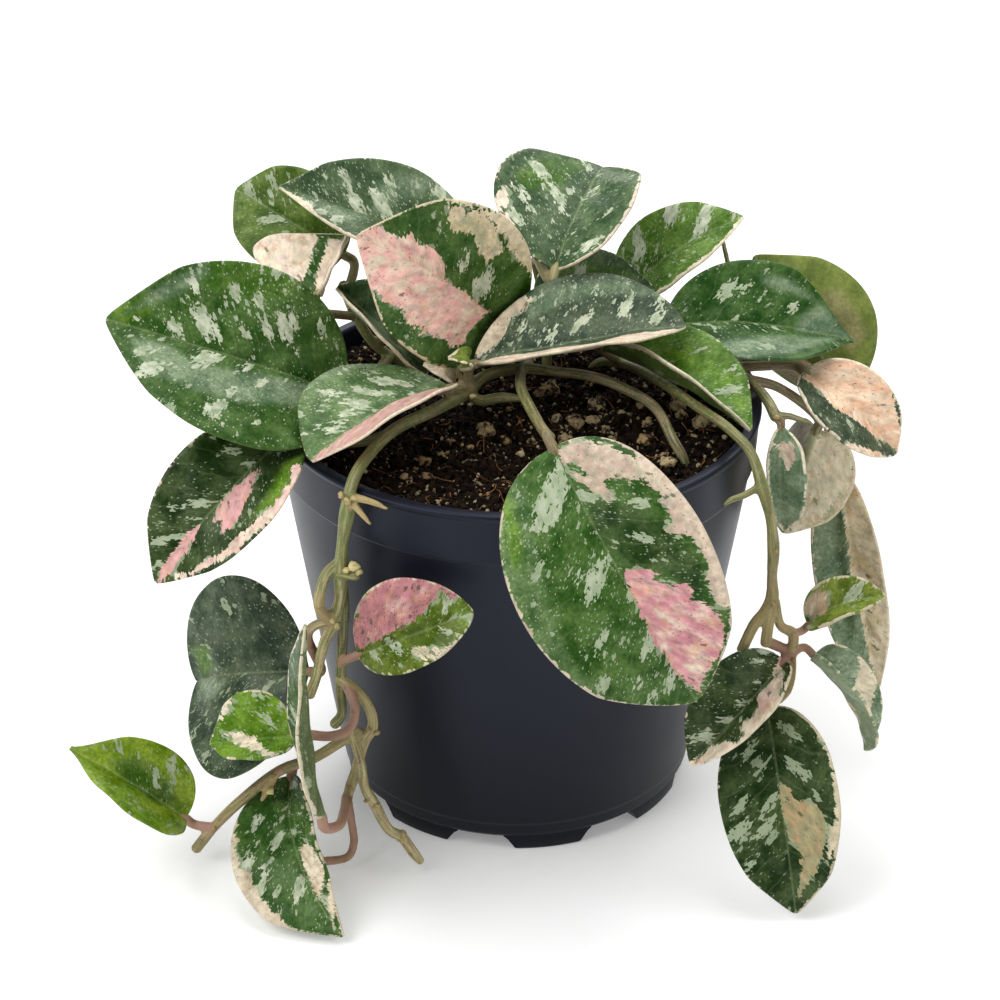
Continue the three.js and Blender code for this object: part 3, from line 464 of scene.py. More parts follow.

# Patches of colour on the leaves. An outline is a run of pairs u, t in percent, u from base to tip and t from
# -100 at the left margin to 100 at the right. blots are silver patches: u, t and the radius in mm.
# the pale patches below are painted sheen of the wax
leafMarkings = {
    "leaf_rear_upper": {
        "pink": [[15, 5, 40, 8, 60, 35, 72, 75, 50, 70, 30, 45]],
        "bright": [[0, -130, 60, -130, 50, -60, 10, -50]],
        "blots": [(35, -50, 2.6), (62, -35, 2), (80, 20, 1.6)],
    },
    "leaf_rear_right": {
        "cream": [[30, -130, 85, -130, 80, -75, 55, -85, 40, -65]],
        "deep": [[10, 20, 70, 20, 80, 90, 20, 90]],
        "blots": [(25, 40, 2.4), (50, 60, 3), (70, 25, 1.8), (55, -40, 1.8)],
    },
    "leaf_rear_low": {
        "cream": [[55, -10, 75, 30, 106, 20, 106, -40, 80, -60]],
        "blots": [(30, 50, 2.2), (35, -45, 2)],
    },
    "leaf_centre_pink": {
        "pink": [[106, 135, 98, 86, 97, 105, 94, 74, 89, 38, 85, 30, 83, 44, 80, 31, 76, 23, 73, 32, 67, 21, 62, 16,
            58, 1, 49, 1, 37, 2, 27, 6, 30, -16, 33, -39, 33, -64, 41, -73, 44, -65, 54, -69, 63, -79, 57, -64,
            70, -74, 70, -62, 81, -80, 84, -79, 92, -135, 96, -135, 106, -135]],
        "cream": [[77, 90, 72, 92, 69, 85, 68, 95, 60, 88, 54, 82, 50, 77, 45, 71, 47, 60, 47, 46, 54, 51, 57, 56,
            61, 65, 65, 62, 68, 55, 72, 65], [80, 135, 74, 102, 65, 101, 56, 101, 44, 99, 34, 105, 23, 135, 28, 95,
            37, 80, 45, 76, 49, 85, 56, 89, 63, 94, 70, 94, 77, 96]],
        "green": [[51, 84, 48, 84, 41, 77, 42, 71, 48, 75]],
        "blots": [(56, 30, 1.4), (42, 19, 1.9), (40, 30, 2.3)],
    },
    "leaf_front_large": {
        "cream": [[1, -10, 1, -69, 3, -80, 7, -85, 18, -95, 30, -135, 38, -135, 47, -135, 55, -135, 71, -103, 73, -90,
            69, -85, 61, -81, 59, -88, 54, -91, 46, -86, 43, -68, 41, -65, 38, -80, 34, -80, 29, -81, 24, -78,
            18, -51, 18, -36, 24, -40, 25, -33, 22, -24, 12, -7, 5, -4]],
        "green": [[21, -66, 25, -79, 30, -84, 32, -78, 27, -66, 23, -60], [6, -9, 8, -24, 15, -33, 12, -18, 10, -7]],
        "pink": [[46, 1, 48, -23, 53, -39, 54, -30, 59, -44, 60, -58, 62, -62, 65, -56, 70, -76, 76, -89, 83, -95,
            89, -85, 92, -65, 97, -56, 106, -135, 93, -11, 85, 5, 77, 5, 70, 4, 61, 1, 53, 0, 48, -3]],
        # the lime and sage patches along this margin are painted yellow-green sheen
        "lime": [[7, 110, 11, 88, 23, 75, 30, 85, 27, 90, 14, 99]],
        "sage": [[3, 110, 10, 66, 25, 62, 45, 74, 65, 87, 85, 110, 70, 120, 55, 120, 40, 120, 25, 120, 12, 120]],
        "dark": [[21, -11, 30, -58, 46, -74, 55, -84, 67, -68, 52, -40, 43, -7, 30, 0]],
        "blots": [(29, -57, 1.5), (15, 31, 4), (45, 24, 2.7), (40, 32, 0.8), (21, 60, 0.9), (63, 49, 1.4),
            (73, 13, 1.9), (82, 55, 0.7), (89, 73, 1.1), (88, 21, 1.4)],
    },
    "leaf_left_large": {
        "lime": [[100, 110, 95, 95, 87, 74, 85, 34, 93, 5]],
        "bright": [[72, 104, 55, 106, 34, 102, 35, 79, 58, 64, 70, 73]],
        "pale": [[94, 40, 84, 81, 70, 100, 68, 85, 76, 64, 86, 54], [90, -38, 75, -11, 64, -26, 46, -14, 25, -7,
            3, -1, 20, -41, 45, -50, 65, -59, 80, -69]],
        "blots": [(72, 70, 1.5), (74, 14, 1.8), (65, 29, 2.2), (57, 18, 1.1), (40, 40, 1.4), (33, 47, 2.1),
            (32, 64, 1.2), (59, -11, 2.8), (80, -67, 2.3), (43, -5, 1.3), (48, -41, 1.1), (56, -67, 1.2),
            (79, -27, 0.9), (36, -19, 1), (18, 77, 1), (52, -82, 0.7)],
    },
    "leaf_left_rim": {
        "pale": [[72, 110, 57, 110, 32, 109, 18, 110, 45, 91, 70, 99, 82, 110, 84, 110]],
        "pink": [[-6, -6, 30, -6, 70, -5, 106, -3, 106, -135, 90, -135, 70, -135, 50, -135, 30, -135, 10, -135,
            -6, -135]],
        "blots": [(36, 53, 1.5), (27, 42, 1.8), (42, 27, 1.5), (60, 26, 1.6), (67, 23, 1.1), (74, 21, 0.8),
            (79, 18, 1.4), (87, 108, 0.6), (65, 67, 1.1)],
    },
    "leaf_left_pink_streak": {
        "pink": [[27, -12, 34, -26, 40, -35, 47, -44, 53, -50, 58, -51, 61, -46, 58, -25, 61, -19, 55, -7, 49, -3,
            40, -1, 34, -6], [64, 1, 69, -5, 76, -16, 84, -21, 91, -38, 96, -64, 106, -135, 96, 26, 89, 20, 80, 11,
            72, 7]],
        "cream": [[15, -135, 27, -135, 35, -135, 42, -103, 48, -101, 55, -98, 63, -98, 69, -96, 76, -88, 81, -93,
            87, -104, 92, -100, 91, -66, 83, -84, 76, -70, 71, -79, 65, -79, 58, -74, 51, -80, 43, -81, 36, -88,
            25, -91, 15, -85]],
        "lime": [[46, -91, 34, -94, 17, -96, 10, -95, 17, -55, 33, -64, 45, -69]],
        "blots": [(29, 47, 1.2), (27, 7, 0.7), (58, 24, 1.4), (66, 19, 0.8), (76, 18, 0.9), (67, 61, 0.7),
            (84, 62, 1.2), (93, 45, 0.7)],
    },
    "leaf_left_folded_pink": {
        "pink": [[22, -135, 52, -135, 85, -135, 87, 135, 77, 135, 23, 135, -6, 7, 1, -135, 8, -135]],
        "green": [[95, -110, 97, -110, 81, -24, 42, -9, 3, -14, 1, -98, 42, -23, 73, -35]],
    },
    "leaf_back_left_round": {
        "blots": [(74, 61, 1.2), (85, 1, 2.2), (73, 30, 0.9), (60, -10, 1.8)],
    },
    "leaf_back_left_long": {
        "cream": [[97, -96, 90, -36, 84, -38, 84, -84, 89, -135, 94, -135]],
        "pale": [[53, 57, 40, 82, 20, 109, 6, 110, 24, 79, 38, 43, 50, 14], [90, 1, 75, 1, 55, -5, 60, -44, 75, -54,
            90, -45]],
        "blots": [(60, 14, 2.3), (47, 27, 2.4), (19, 87, 1.3), (45, 66, 1)],
    },
    "leaf_centre_tucked": {
        "pale": [[68, 18, 52, 25, 23, 20, 33, -40, 59, -110, 75, -110]],
    },
    "leaf_centre_long": {
        "cream": [[2, -135, 9, -135, 15, -135, 21, -135, 28, -100, 35, -85, 29, -80, 22, -75, 17, -60, 14, -45,
            8, -31, 3, -41]],
        "pale": [[28, -95, 47, -90, 74, -95, 91, -104, 73, -71, 50, -65, 30, -58]],
        "pink": [[-6, 60, 10, 40, 30, 30, 50, 34, 70, 30, 86, 30, 94, 50, 94, 135, 80, 135, 60, 135, 40, 135, 20, 135,
            -6, 135]],
        "blots": [(22, -86, 1), (26, -49, 0.8), (38, -18, 1.5), (57, -35, 1), (75, -50, 1.7), (91, -83, 1.1),
            (88, -34, 1.6), (62, -74, 0.6), (12, -50, 0.9)],
    },
    "leaf_centre_back": {
        "bright": [[19, -98, 47, -79, 77, -74, 91, -73, 60, -53, 29, -71]],
        "blots": [(44, -60, 1.5)],
    },
    "leaf_top": {
        "cream": [[23, -135, 28, -106, 39, -91, 45, -84, 35, -84, 28, -84, 26, -94, 20, -108], [15, -135, 23, -89,
            19, -83, 11, -104, 12, -135], [60, 135, 51, 135, 41, 135, 29, 135, 20, 135, 10, 135, 8, 135, 16, 135,
            25, 135, 37, 135, 49, 135]],
        "bright": [[51, -81, 78, -74, 99, -110, 100, -71, 61, -31, 44, -65]],
        "blots": [(65, -63, 2), (40, -65, 1.4), (52, -26, 1.9), (42, -16, 1.1), (24, -73, 1.5), (96, -85, 0.6),
            (91, -38, 1.3), (55, -48, 1), (33, -53, 0.8), (65, 2, 1.4), (42, 61, 1), (17, 70, 1.4)],
    },
    "leaf_top_right": {
        "lime": [[57, -61, 71, -81, 85, -85, 75, -53, 64, -44]],
        "blots": [(62, -95, 2.6), (78, -50, 2.5), (28, -46, 1.9)],
    },
    "leaf_right_dark": {
        "pale": [[68, 7, 72, -34, 80, -78, 90, -85, 100, -61, 86, 5], [48, -78, 62, -80, 76, -73, 68, -66, 57, -61,
            49, -64], [12, 108, 36, 46, 68, 25, 91, 24, 65, 73, 35, 110, 17, 110]],
        "blots": [(31, -57, 1.9), (39, -56, 0.9), (48, -43, 0.7), (65, -36, 1.2), (24, 18, 1.1), (35, -2, 0.9),
            (55, 2, 1)],
    },
    "leaf_right_pink": {
        "pink": [[1, -135, 20, -135, 57, -105, 89, -106, 106, -135, 95, -18, 85, 7, 75, 23, 62, 27, 50, 29, 38, 43,
            25, 34, 14, 32, 4, 68], [59, 92, 70, 85, 82, 79, 90, 102, 75, 135, 65, 135]],
        "blots": [(5, -39, 1.9), (40, -3, 2.5), (71, 4, 2.1)],
    },
    "leaf_right_olive": {
        "tan": [[63, -23, 55, -76, 23, -86, 20, -44, 42, -19]],
    },
    "leaf_right_rim": {
        "lime": [[25, -31, 45, -59, 74, -78, 91, -75, 97, 7, 77, -28, 53, -23]],
        "deep": [[6, 44, 31, 70, 46, -21, 40, 7, 18, 5]],
        "blots": [(69, -77, 0.8), (76, -45, 1.5), (49, -67, 0.9)],
    },
    "leaf_right_pale": {
        "pink": [[24, -135, 1, -135, 8, 135, 22, 135, 37, 102, 50, 84, 79, 82, 97, 104, 95, -135, 71, -15, 43, -11,
            33, -70]],
        "blots": [(25, 53, 3.9)],
    },
    "leaf_right_behind": {
        "pink": [[15, 51, 12, -66, 28, -69, 38, -23]],
    },
    "leaf_right_tan": {
        "pink": [[2, -135, 5, -135, 18, -135, 35, -135, 52, -135, 78, -135, 106, -135, 86, 16, 64, 12, 49, 18, 31, 10,
            13, 10]],
        "dark": [[6, 44, 7, -12, 31, 10, 51, 20, 72, 30, 75, 61, 57, 49, 39, 43]],
    },
    "leaf_right_small": {
        "pink": [[5, -99, 18, -99, 34, -86, 42, -55, 28, 6, 10, -7]],
        "blots": [(65, -20, 2)],
    },
    "leaf_right_grey": {
        "pink": [[15, -135, 26, -135, 50, -88, 89, 69, 85, 12, 48, 25, 30, -73]],
        "dark": [[0, -110, 4, -28, 31, 6, 90, 2, 97, 2, 53, 4, 12, 10]],
    },
    "leaf_right_speckled": {
        "pink": [[-6, 90, 19, -83, 32, -99, 46, -135, 56, -135, 67, -135, 80, -135, 94, -135, 106, 135, 91, -19,
            80, -15, 71, -49, 66, -91, 60, -85, 56, -34, 49, -53, 38, -38, 30, -11, 23, -24, 9, 7]],
        "blots": [(80, 30, 1.6), (60, 7, 1.1), (43, 7, 0.9), (16, 57, 0.7)],
    },
    "leaf_right_lowest": {
        "pink": [[36, -1, 38, -16, 42, -19, 47, -29, 45, -34, 45, -48, 50, -65, 53, -73, 59, -80, 66, -74, 71, -70,
            79, -64, 87, -43, 93, -28, 83, -26, 76, -31, 70, -25, 64, -7, 57, -3, 48, 2]],
        "green": [[69, -10, 72, -26, 79, -34, 82, -18, 76, -1]],
        "cream": [[8, -135, 16, -135, 30, -135, 46, -135, 64, -101, 74, -89, 66, -80, 53, -93, 38, -98, 25, -99,
            14, -103]],
        "blots": [(44, 66, 1.5), (56, 78, 1.9), (46, 23, 1.6), (57, 36, 1.8), (72, 81, 1.2), (27, 22, 1.2),
            (19, 47, 1.5), (31, -38, 1.9), (13, -44, 1.5), (59, -76, 1.5)],
    },
    "leaf_front_small": {
        "pink": [[-6, -135, 8, -135, 20, -94, 34, -99, 50, -105, 62, -135, 70, -135, 77, -135, 84, -135, 89, -135,
            94, -135, 97, -135, 91, -65, 89, -81, 86, -83, 82, -56, 76, -44, 68, -33, 60, -23, 48, -19, 37, -16,
            23, -18, 8, -26]],
        "cream": [[51, 39, 63, 50, 72, 79, 82, 100, 91, 135, 81, 135, 72, 105, 62, 84, 53, 62]],
        "lime": [[92, -70, 100, 110, 94, 110, 90, 23]],
        "blots": [(39, 16, 1.5), (16, 12, 1.4), (82, 48, 0.9), (86, -46, 1.2)],
    },
    "leaf_low_left_dark": {
        "pale": [[94, 0, 62, -7, 72, -24, 95, -60]],
        "bright": [[92, 86, 76, 41, 75, 10, 91, 5]],
        "blots": [(85, -87, 1), (69, -88, 1.2)],
    },
    "leaf_low_left_bright": {
        "cream": [[80, 34, 59, 18, 41, 2, 35, -44, 24, -90, 8, -135, 29, -99, 59, -30], [62, 96, 74, 75, 80, 88,
            70, 135, 61, 106]],
        "blots": [(34, 94, 1), (26, 34, 1.1), (11, 100, 0.6)],
    },
    "leaf_low_left_tip": {
        "deep": [[72, 23, 56, 64, 28, 50, 10, 23, 33, -21, 55, -6]],
        "lime": [[75, -73, 50, -14, 33, -56, 7, -65, 33, -110, 58, -110]],
        "blots": [(31, 75, 1.6), (39, 42, 1.2), (71, 64, 1)],
    },
    "leaf_low_front": {
        "cream": [[21, 101, 29, 105, 38, 105, 49, 104, 57, 104, 66, 104, 74, 135, 81, 135, 87, 135, 90, 135, 85, 135,
            78, 90, 74, 80, 68, 80, 64, 82, 59, 79, 53, 80, 49, 79, 46, 91, 37, 90, 30, 92], [25, -135, 46, -135,
            64, -135, 82, -135, 93, 1, 83, -39, 71, -135, 52, -135]],
        "pink": [[46, -16, 49, -65, 59, -84, 68, -96, 74, -66, 78, -10, 69, -9, 60, -10]],
        "blots": [(46, 80, 1.4), (60, 78, 1.4), (25, 62, 1.1), (51, 56, 1.1), (64, 52, 0.9), (68, 18, 1.3)],
    },
}


def compass(turn, height):
    # the direction that an upper side looks in, from its two angles in degrees
    a, h = math.radians(turn), math.radians(height)
    return np.array([*onCircle(1, a), 0]) * math.cos(h) + np.array([0, 0, math.sin(h)])


def leafHalf(leaf, u):
    # half the blade's width in mm at u, which runs from 0 at the base to 1 at the tip
    blunt, taper, point = leaf["blunt"], leaf["taper"], leaf["point"]
    peak = blunt / (blunt + taper)
    top = peak ** blunt * (1 - peak) ** taper
    start = 0.78 - 0.35 * max(point - 0.45, 0)
    drawnIn = 1 - point * np.clip((u - start) / (1 - start), 0, 1) ** 1.4
    outline = np.power(u, blunt) * np.power(1 - u, taper) / top * drawnIn
    least = leafLook["baseHalf"] + (leafLook["tipHalf"] - leafLook["baseHalf"]) * u
    return np.maximum(leaf["width"] / 2 * outline, least)


def leafPoint(leaf, u, t):
    # the upper side at u along the midrib and t across, from -1 at the left margin to 1 at the right
    u, t = np.broadcast_arrays(np.asarray(u, float), np.asarray(t, float))
    base, tip = np.array(leaf["base"], float), np.array(leaf["tip"], float)
    length = np.linalg.norm(tip - base)
    along = (tip - base) / length
    toward = compass(*leaf["faces"])
    up = unit(toward - along * (toward @ along))
    side = np.cross(along, up)
    arch, sway, soft = leaf["arch"], leaf["sway"], leafLook["crease"]
    bow, slope = (4 * u * (1 - u))[..., None], (4 * (1 - 2 * u))[..., None]
    tangent = unit(along * length + up * arch * slope + side * sway * slope)
    upHere = unit(up - tangent * (tangent @ up)[..., None])
    sideHere = np.cross(tangent, upHere)
    fold = np.radians(np.where(t < 0, *leaf["fold"]))
    half = leafHalf(leaf, u) * np.where(t < 0, *leaf["halves"])
    a = np.abs(t)
    lift = (np.sqrt(a * a + soft * soft) - soft) / (math.sqrt(1 + soft * soft) - soft)
    out = (np.sign(t) * a * half * np.cos(fold))[..., None] * sideHere
    rise = (lift * half * np.sin(fold) + leaf["cup"] * half * t * t)[..., None] * upHere
    run = u + leaf["notch"] * 2.5 * u ** 3 * (1 - u) ** 0.4 * a ** 1.5
    return base + along * length * run[..., None] + (up * arch + side * sway) * bow + out + rise


def leafNormal(leaf, u, t, step=0.02):
    alongSurface = leafPoint(leaf, np.minimum(u + step, 1), t) - leafPoint(leaf, np.maximum(u - step, 0), t)
    acrossSurface = leafPoint(leaf, u, np.minimum(t + step, 1)) - leafPoint(leaf, u, np.maximum(t - step, -1))
    return unit(np.cross(acrossSurface, alongSurface))


def insidePolygon(points, x, y):
    # how deep (x, y) lies inside the outline, negative outside, in mm
    inside = np.zeros(x.shape, bool)
    nearest = np.full(x.shape, 1e9)
    for (ax, ay), (bx, by) in zip(points, points[1:] + points[:1]):
        crosses = (ay > y) != (by > y)
        with np.errstate(divide="ignore", invalid="ignore"):
            inside ^= crosses & (x < (bx - ax) * (y - ay) / (by - ay) + ax)
        dx, dy = bx - ax, by - ay
        k = np.clip(((x - ax) * dx + (y - ay) * dy) / max(dx * dx + dy * dy, 1e-9), 0, 1)
        nearest = np.minimum(nearest, np.hypot(x - ax - k * dx, y - ay - k * dy))
    return np.where(inside, nearest, -nearest)


def veinFoot(x, y):
    # where the lateral vein through a point leaves the midrib, in mm from the base
    return x - np.abs(y) * 0.8 + y * y * 0.012


def patchDepth(leaf, outlines, u, t, half, length):
    # how deep each point lies inside the nearest of these patches, in mm
    depth = np.full(u.shape, -leafLook["farOut"])
    for outline in outlines:
        us, ts = np.array(outline, float).reshape(-1, 2).T / 100
        halves = leafHalf(leaf, np.clip(us, 0.02, 0.98)) * np.where(ts < 0, *leaf["halves"])
        depth = np.maximum(depth, insidePolygon(list(zip(us * length, ts * halves)), u * length, t * half))
    return depth


def leafMarks(name, leaf, u, t, half, length):
    # depth in mm inside the cream, pink and silver patches and the margin, and the green under them
    marks = leafMarkings.get(name, {})
    x, y = u * length, t * half

    def depth(kind):
        return patchDepth(leaf, marks.get(kind, []), u, t, half, length)

    bare = -depth("green")
    cream, pink = np.minimum(depth("cream"), bare), np.minimum(depth("pink"), bare)
    silver = np.full(u.shape, -leafLook["farOut"])
    for bu, bt, radius in marks.get("blots", []):
        bu, bt = bu / 100, bt / 100
        bHalf = float(leafHalf(leaf, np.clip(bu, 0.02, 0.98))) * leaf["halves"][int(bt > 0)]
        bx, by = bu * length, bt * bHalf
        away = np.hypot(veinFoot(x, y) - veinFoot(bx, by), (np.abs(y) - abs(by)) * 0.6)
        silver = np.maximum(silver, np.where(y * by > 0, radius - away, -leafLook["farOut"]))
    margin = np.where(t < 0, *leaf["margin"]) - (1 - np.abs(t)) * half
    tone = np.broadcast_to(np.array(tones[leaf["tone"]]), (*u.shape, 3)).copy()
    # soft patches of other tones; the pale ones are painted sheen
    for kind in tones:
        if kind in marks:
            share = np.clip(depth(kind) / 3 + 0.5, 0, 1)[..., None]
            tone += (np.array(tones[kind]) - tone) * share * share * (3 - 2 * share) * 0.75
    return cream, pink, silver, margin, tone


def roundBlade(upper, right, lower, left):
    # one ring per row: over the upper side, round the right margin, back under the leaf, round the left
    return np.concatenate([upper, right[:, None], lower[:, ::-1], left[:, None]], axis=1)


def makeLeaf(name, leaf, number, material):
    look, n = leafLook, leafLook["columns"]
    length = np.linalg.norm(np.array(leaf["tip"], float) - np.array(leaf["base"], float))
    rows = int(np.clip(length * look["rowsPerMm"], *look["rowLimits"]))
    s = np.arange(-n, n + 1) / n
    u, t = np.meshgrid((1 - np.cos(np.pi * np.arange(rows + 1) / rows)) / 2, np.sign(s) * np.abs(s) ** 1.35,
                       indexing="ij")
    top, normal = leafPoint(leaf, u, t), leafNormal(leaf, u, t)
    half = leafHalf(leaf, u) * np.where(t < 0, *leaf["halves"])
    x, y = u * length, t * half
    thick = (look["midThickness"] + (look["edgeThickness"] - look["midThickness"]) * t * t) * (1 - 0.45 * u ** 4)
    size = min(1.0, leaf["width"] / 20)     # small leaves have finer relief
    wave = look["wave"] * size * (np.sin(u * 9 + number) * np.sin(t * 3.1 + number * 1.7)
                                  + 0.5 * np.sin(u * 21 + t * 5 + number * 2.3))
    wave = (wave * np.minimum(1, 4 * u * (1 - u) * 2))[..., None] * normal
    groove = look["groove"] * size * np.exp(-(y / 0.8) ** 2) * (1 - u ** 3)
    rib = look["rib"] * size * np.exp(-(y / 1.1) ** 2) * (1 - u)
    upper = top + wave - groove[..., None] * normal
    lower = top + wave - (thick + rib)[..., None] * normal
    right = (upper[:, -1] + lower[:, -1]) / 2 + look["rim"] * unit(top[:, -1] - top[:, -2])
    left = (upper[:, 0] + lower[:, 0]) / 2 + look["rim"] * unit(top[:, 0] - top[:, 1])
    ring = roundBlade(upper, right, lower, left)
    m, around = 2 * n + 1, ring.shape[1]
    verts = toFrame(ring.reshape(-1, 3))
    faces = bandFaces(rows, around)
    for start in (0, rows * around):
        cap = [(start + j, start + 2 * m - j, start + 2 * m - 1 - j, start + j + 1) for j in range(m - 1)]
        cap += [(start + m - 1, start + m + 1, start + m), (start + 2 * m + 1, start + 2 * m, start)]
        faces += cap if start else [tuple(reversed(face)) for face in cap]
    obj = newPiece(name + "_blade", verts, faces, material)

    def both(values):
        # the same value over and under the blade
        return roundBlade(values, values[:, -1], values, values[:, 0]).ravel()

    def same(*values):
        return np.tile(values, (len(verts), 1))

    zeros = np.zeros(u.shape)
    edge = np.full(rows + 1, 0.5)
    under = roundBlade(zeros, edge, zeros + 1, edge).ravel()
    *depths, tone = leafMarks(name, leaf, u, t, half, length)
    place = np.stack([both(veinFoot(x, y)), both(y), np.full(len(verts), number * 13.7)], 1)
    store(obj.data, "leafPlace", "FLOAT_VECTOR", place)
    store(obj.data, "leafHabit", "FLOAT_VECTOR", same(leaf["fleck"], leaf["shine"], leaf["dots"]))
    store(obj.data, "leafBlush", "FLOAT_COLOR", same(*blushes[leaf["blush"]], leaf["fade"]))
    store(obj.data, "leafPale", "FLOAT_COLOR", same(*blushes[leaf["pale"]], leaf["creamy"]))
    store(obj.data, "leafMarks", "FLOAT_COLOR", np.stack([both(depth) for depth in depths], 1))
    store(obj.data, "leafTone", "FLOAT_COLOR", np.column_stack([both(tone[..., k]) for k in range(3)] + [under]))
    return obj


def makeLeafMaterial():
    material, w, surface = newMaterial("waxyLeaf", IOR=1.45, Specular_IOR_Level=0.2)
    look, still = leafLook, w.place()
    place = w.attribute("leafPlace")["Vector"]
    marks, tone, pale, blush = (w.attribute(layer) for layer in ("leafMarks", "leafTone", "leafPale", "leafBlush"))
    x, y, seed = w.split(place)
    fleck, shine, dotted = w.split(w.attribute("leafHabit")["Vector"])
    cream, pink, silver = w.channels(marks["Color"])
    margin, under, across = marks["Alpha"], tone["Alpha"], w.math("ABSOLUTE", y)

    def torn(field, tear, fine, shift=0.0):
        return w.group(leafSplash, Place=place, Field=field, Tear=tear, Fine=fine, Shift=shift)["Mask"]

    def uneven(vector, scale, detail, roughness, low, high):
        return w.ramp(w.noise(vector, scale, detail, roughness), low, high)

    # clouds of darker green and of hazier green, whose haze is painted sheen of the wax, the same over both halves
    shaded = w.mix(1.0, tone["Color"], look["shade"], "MULTIPLY")
    sheenGreen = w.mix(look["sheenHaze"], tone["Color"], look["veinPale"])
    green = w.mix(uneven(still, look["cloudSize"], 5.0, 0.6, 0.36, 0.64), shaded, sheenGreen)
    fine = w.group(toneMottle, Place=still, Colour=green, Size=look["mottleSize"], Amount=0.45)["Colour"]
    # lateral veins, hardly paler
    waver = w.times(w.noise(w.join(x, across, seed), 0.12, 1.0), look["veinWaver"])
    phase = w.math("FRACT", w.math("DIVIDE", w.plus(x, waver), look["veinSpacing"]))
    vein = w.ramp(w.math("ABSOLUTE", w.minus(phase, 0.5)), 0.0, 0.08, 1.0, 0.0)
    veinTone = w.mix(w.times(vein, look["veinShare"]), fine, look["veinPale"])
    # silver blots with torn gaps, flakes and specks
    flecks = w.group(leafFlecks, Place=place, Density=fleck)
    blot = w.larger(torn(silver, 2.6, 4.6, 2.0), w.times(flecks["Blotches"], 0.85))
    patches = w.times(blot, uneven(place, 0.8, 2.0, 0.6, 0.34, 0.4))
    dots = w.larger(w.times(flecks["Flakes"], 0.75), w.times(flecks["Specks"], 0.7))
    bright = w.times(w.ramp(w.noise(place, 0.5), 0.3, 0.7), shine)
    spotted = w.mix(w.larger(patches, dots), veinTone, w.mix(bright, look["silverDull"], look["silver"]))
    # cream patches, paler at the margin, with clouds of sage further in
    creamy = w.times(uneven(place, 0.2, 4.0, 0.6, 0.35, 0.65), pale["Alpha"])
    paled = w.mix(creamy, pale["Color"], look["cream"])
    paled = w.mix(w.ramp(margin, -5.0, 0.0, 0.0, 0.5), paled, look["cream"])
    sage = w.times(uneven(w.vector("ADD", place, (11, 70, 0)), 0.33, 4.0, 0.65, 0.5, 0.6), 0.45)
    paled = w.mix(w.times(sage, w.ramp(margin, -3.0, -1.0, 1.0, 0.0)), paled, look["silverDull"])
    creamTone = w.group(toneMottle, Place=still, Colour=paled, Size=look["creamSize"], Amount=0.35)["Colour"]
    # the blush fades to cream and is burnt tan here and there
    fade = w.minus(w.plus(w.noise(place, 0.24, 4.0, 0.6), blush["Alpha"]), 0.9)
    faded = w.mix(w.ramp(fade, -0.22, 0.2), blush["Color"], look["cream"])
    burnt = w.times(uneven(w.vector("ADD", place, (40, 9, 0)), 0.3, 4.0, 0.65, 0.5, 0.68), 0.55)
    pinkTone = w.group(toneMottle, Place=place, Colour=w.mix(burnt, faded, look["burnt"]), Size=0.45,
                       Amount=0.35)["Colour"]
    # both keep a few dark specks and have a sage fringe here and there
    few = w.group(leafFlecks, Place=place, Density=dotted, Shift=31.0)
    kept = w.larger(w.times(few["Flakes"], 0.7), w.times(few["Specks"], 0.6))
    creamMask, pinkMask = torn(cream, 1.6, 3.6), torn(pink, 1.6, 3.6, 9.0)
    fringe = torn(w.minus(w.larger(cream, pink), 0.2), 7.0, 2.5, 17.0)
    fringed = w.mix(w.times(fringe, 0.75), spotted, look["silverDull"])
    patched = w.mix(pinkMask, w.mix(creamMask, fringed, creamTone), pinkTone)
    specked = w.mix(w.times(w.larger(creamMask, pinkMask), kept), patched, look["speck"])
    margined = w.mix(w.times(torn(margin, 2.6, 1.4, 4.0), 0.85), specked, creamTone)
    # the midrib, fainter on the upper side, and the duller underside
    rib = w.times(w.ramp(across, 0.1, 0.45, 1.0, 0.0), w.ramp(under, 0.0, 1.0, 0.16, 0.6, smooth=False))
    ribbed = w.mix(rib, margined, look["veinPale"])
    w.put(surface["Base Color"], w.mix(under, ribbed, w.mix(0.28, ribbed, look["under"])))
    gloss = w.ramp(w.noise(place, 0.2), 0.3, 0.7, *look["gloss"], smooth=False)
    w.put(surface["Roughness"], w.plus(gloss, w.times(under, 0.15)))
    swell = w.minus(w.times(w.noise(place, 0.35, 2.0), 1.6), w.times(vein, 0.3))
    relief = w.plus(w.times(w.noise(place, 1.8, 3.0, 0.6), 0.75), swell)
    w.put(surface["Normal"], w.bump(relief, look["relief"], 0.8))
    return material


waxyLeaf = makeLeafMaterial()
for number, (name, leaf) in enumerate(leaves.items()):
    piece = makeLeaf(name, leaf, number, waxyLeaf)
    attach(piece, "root")
    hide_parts(name)
print("leaves:", len(leaves))

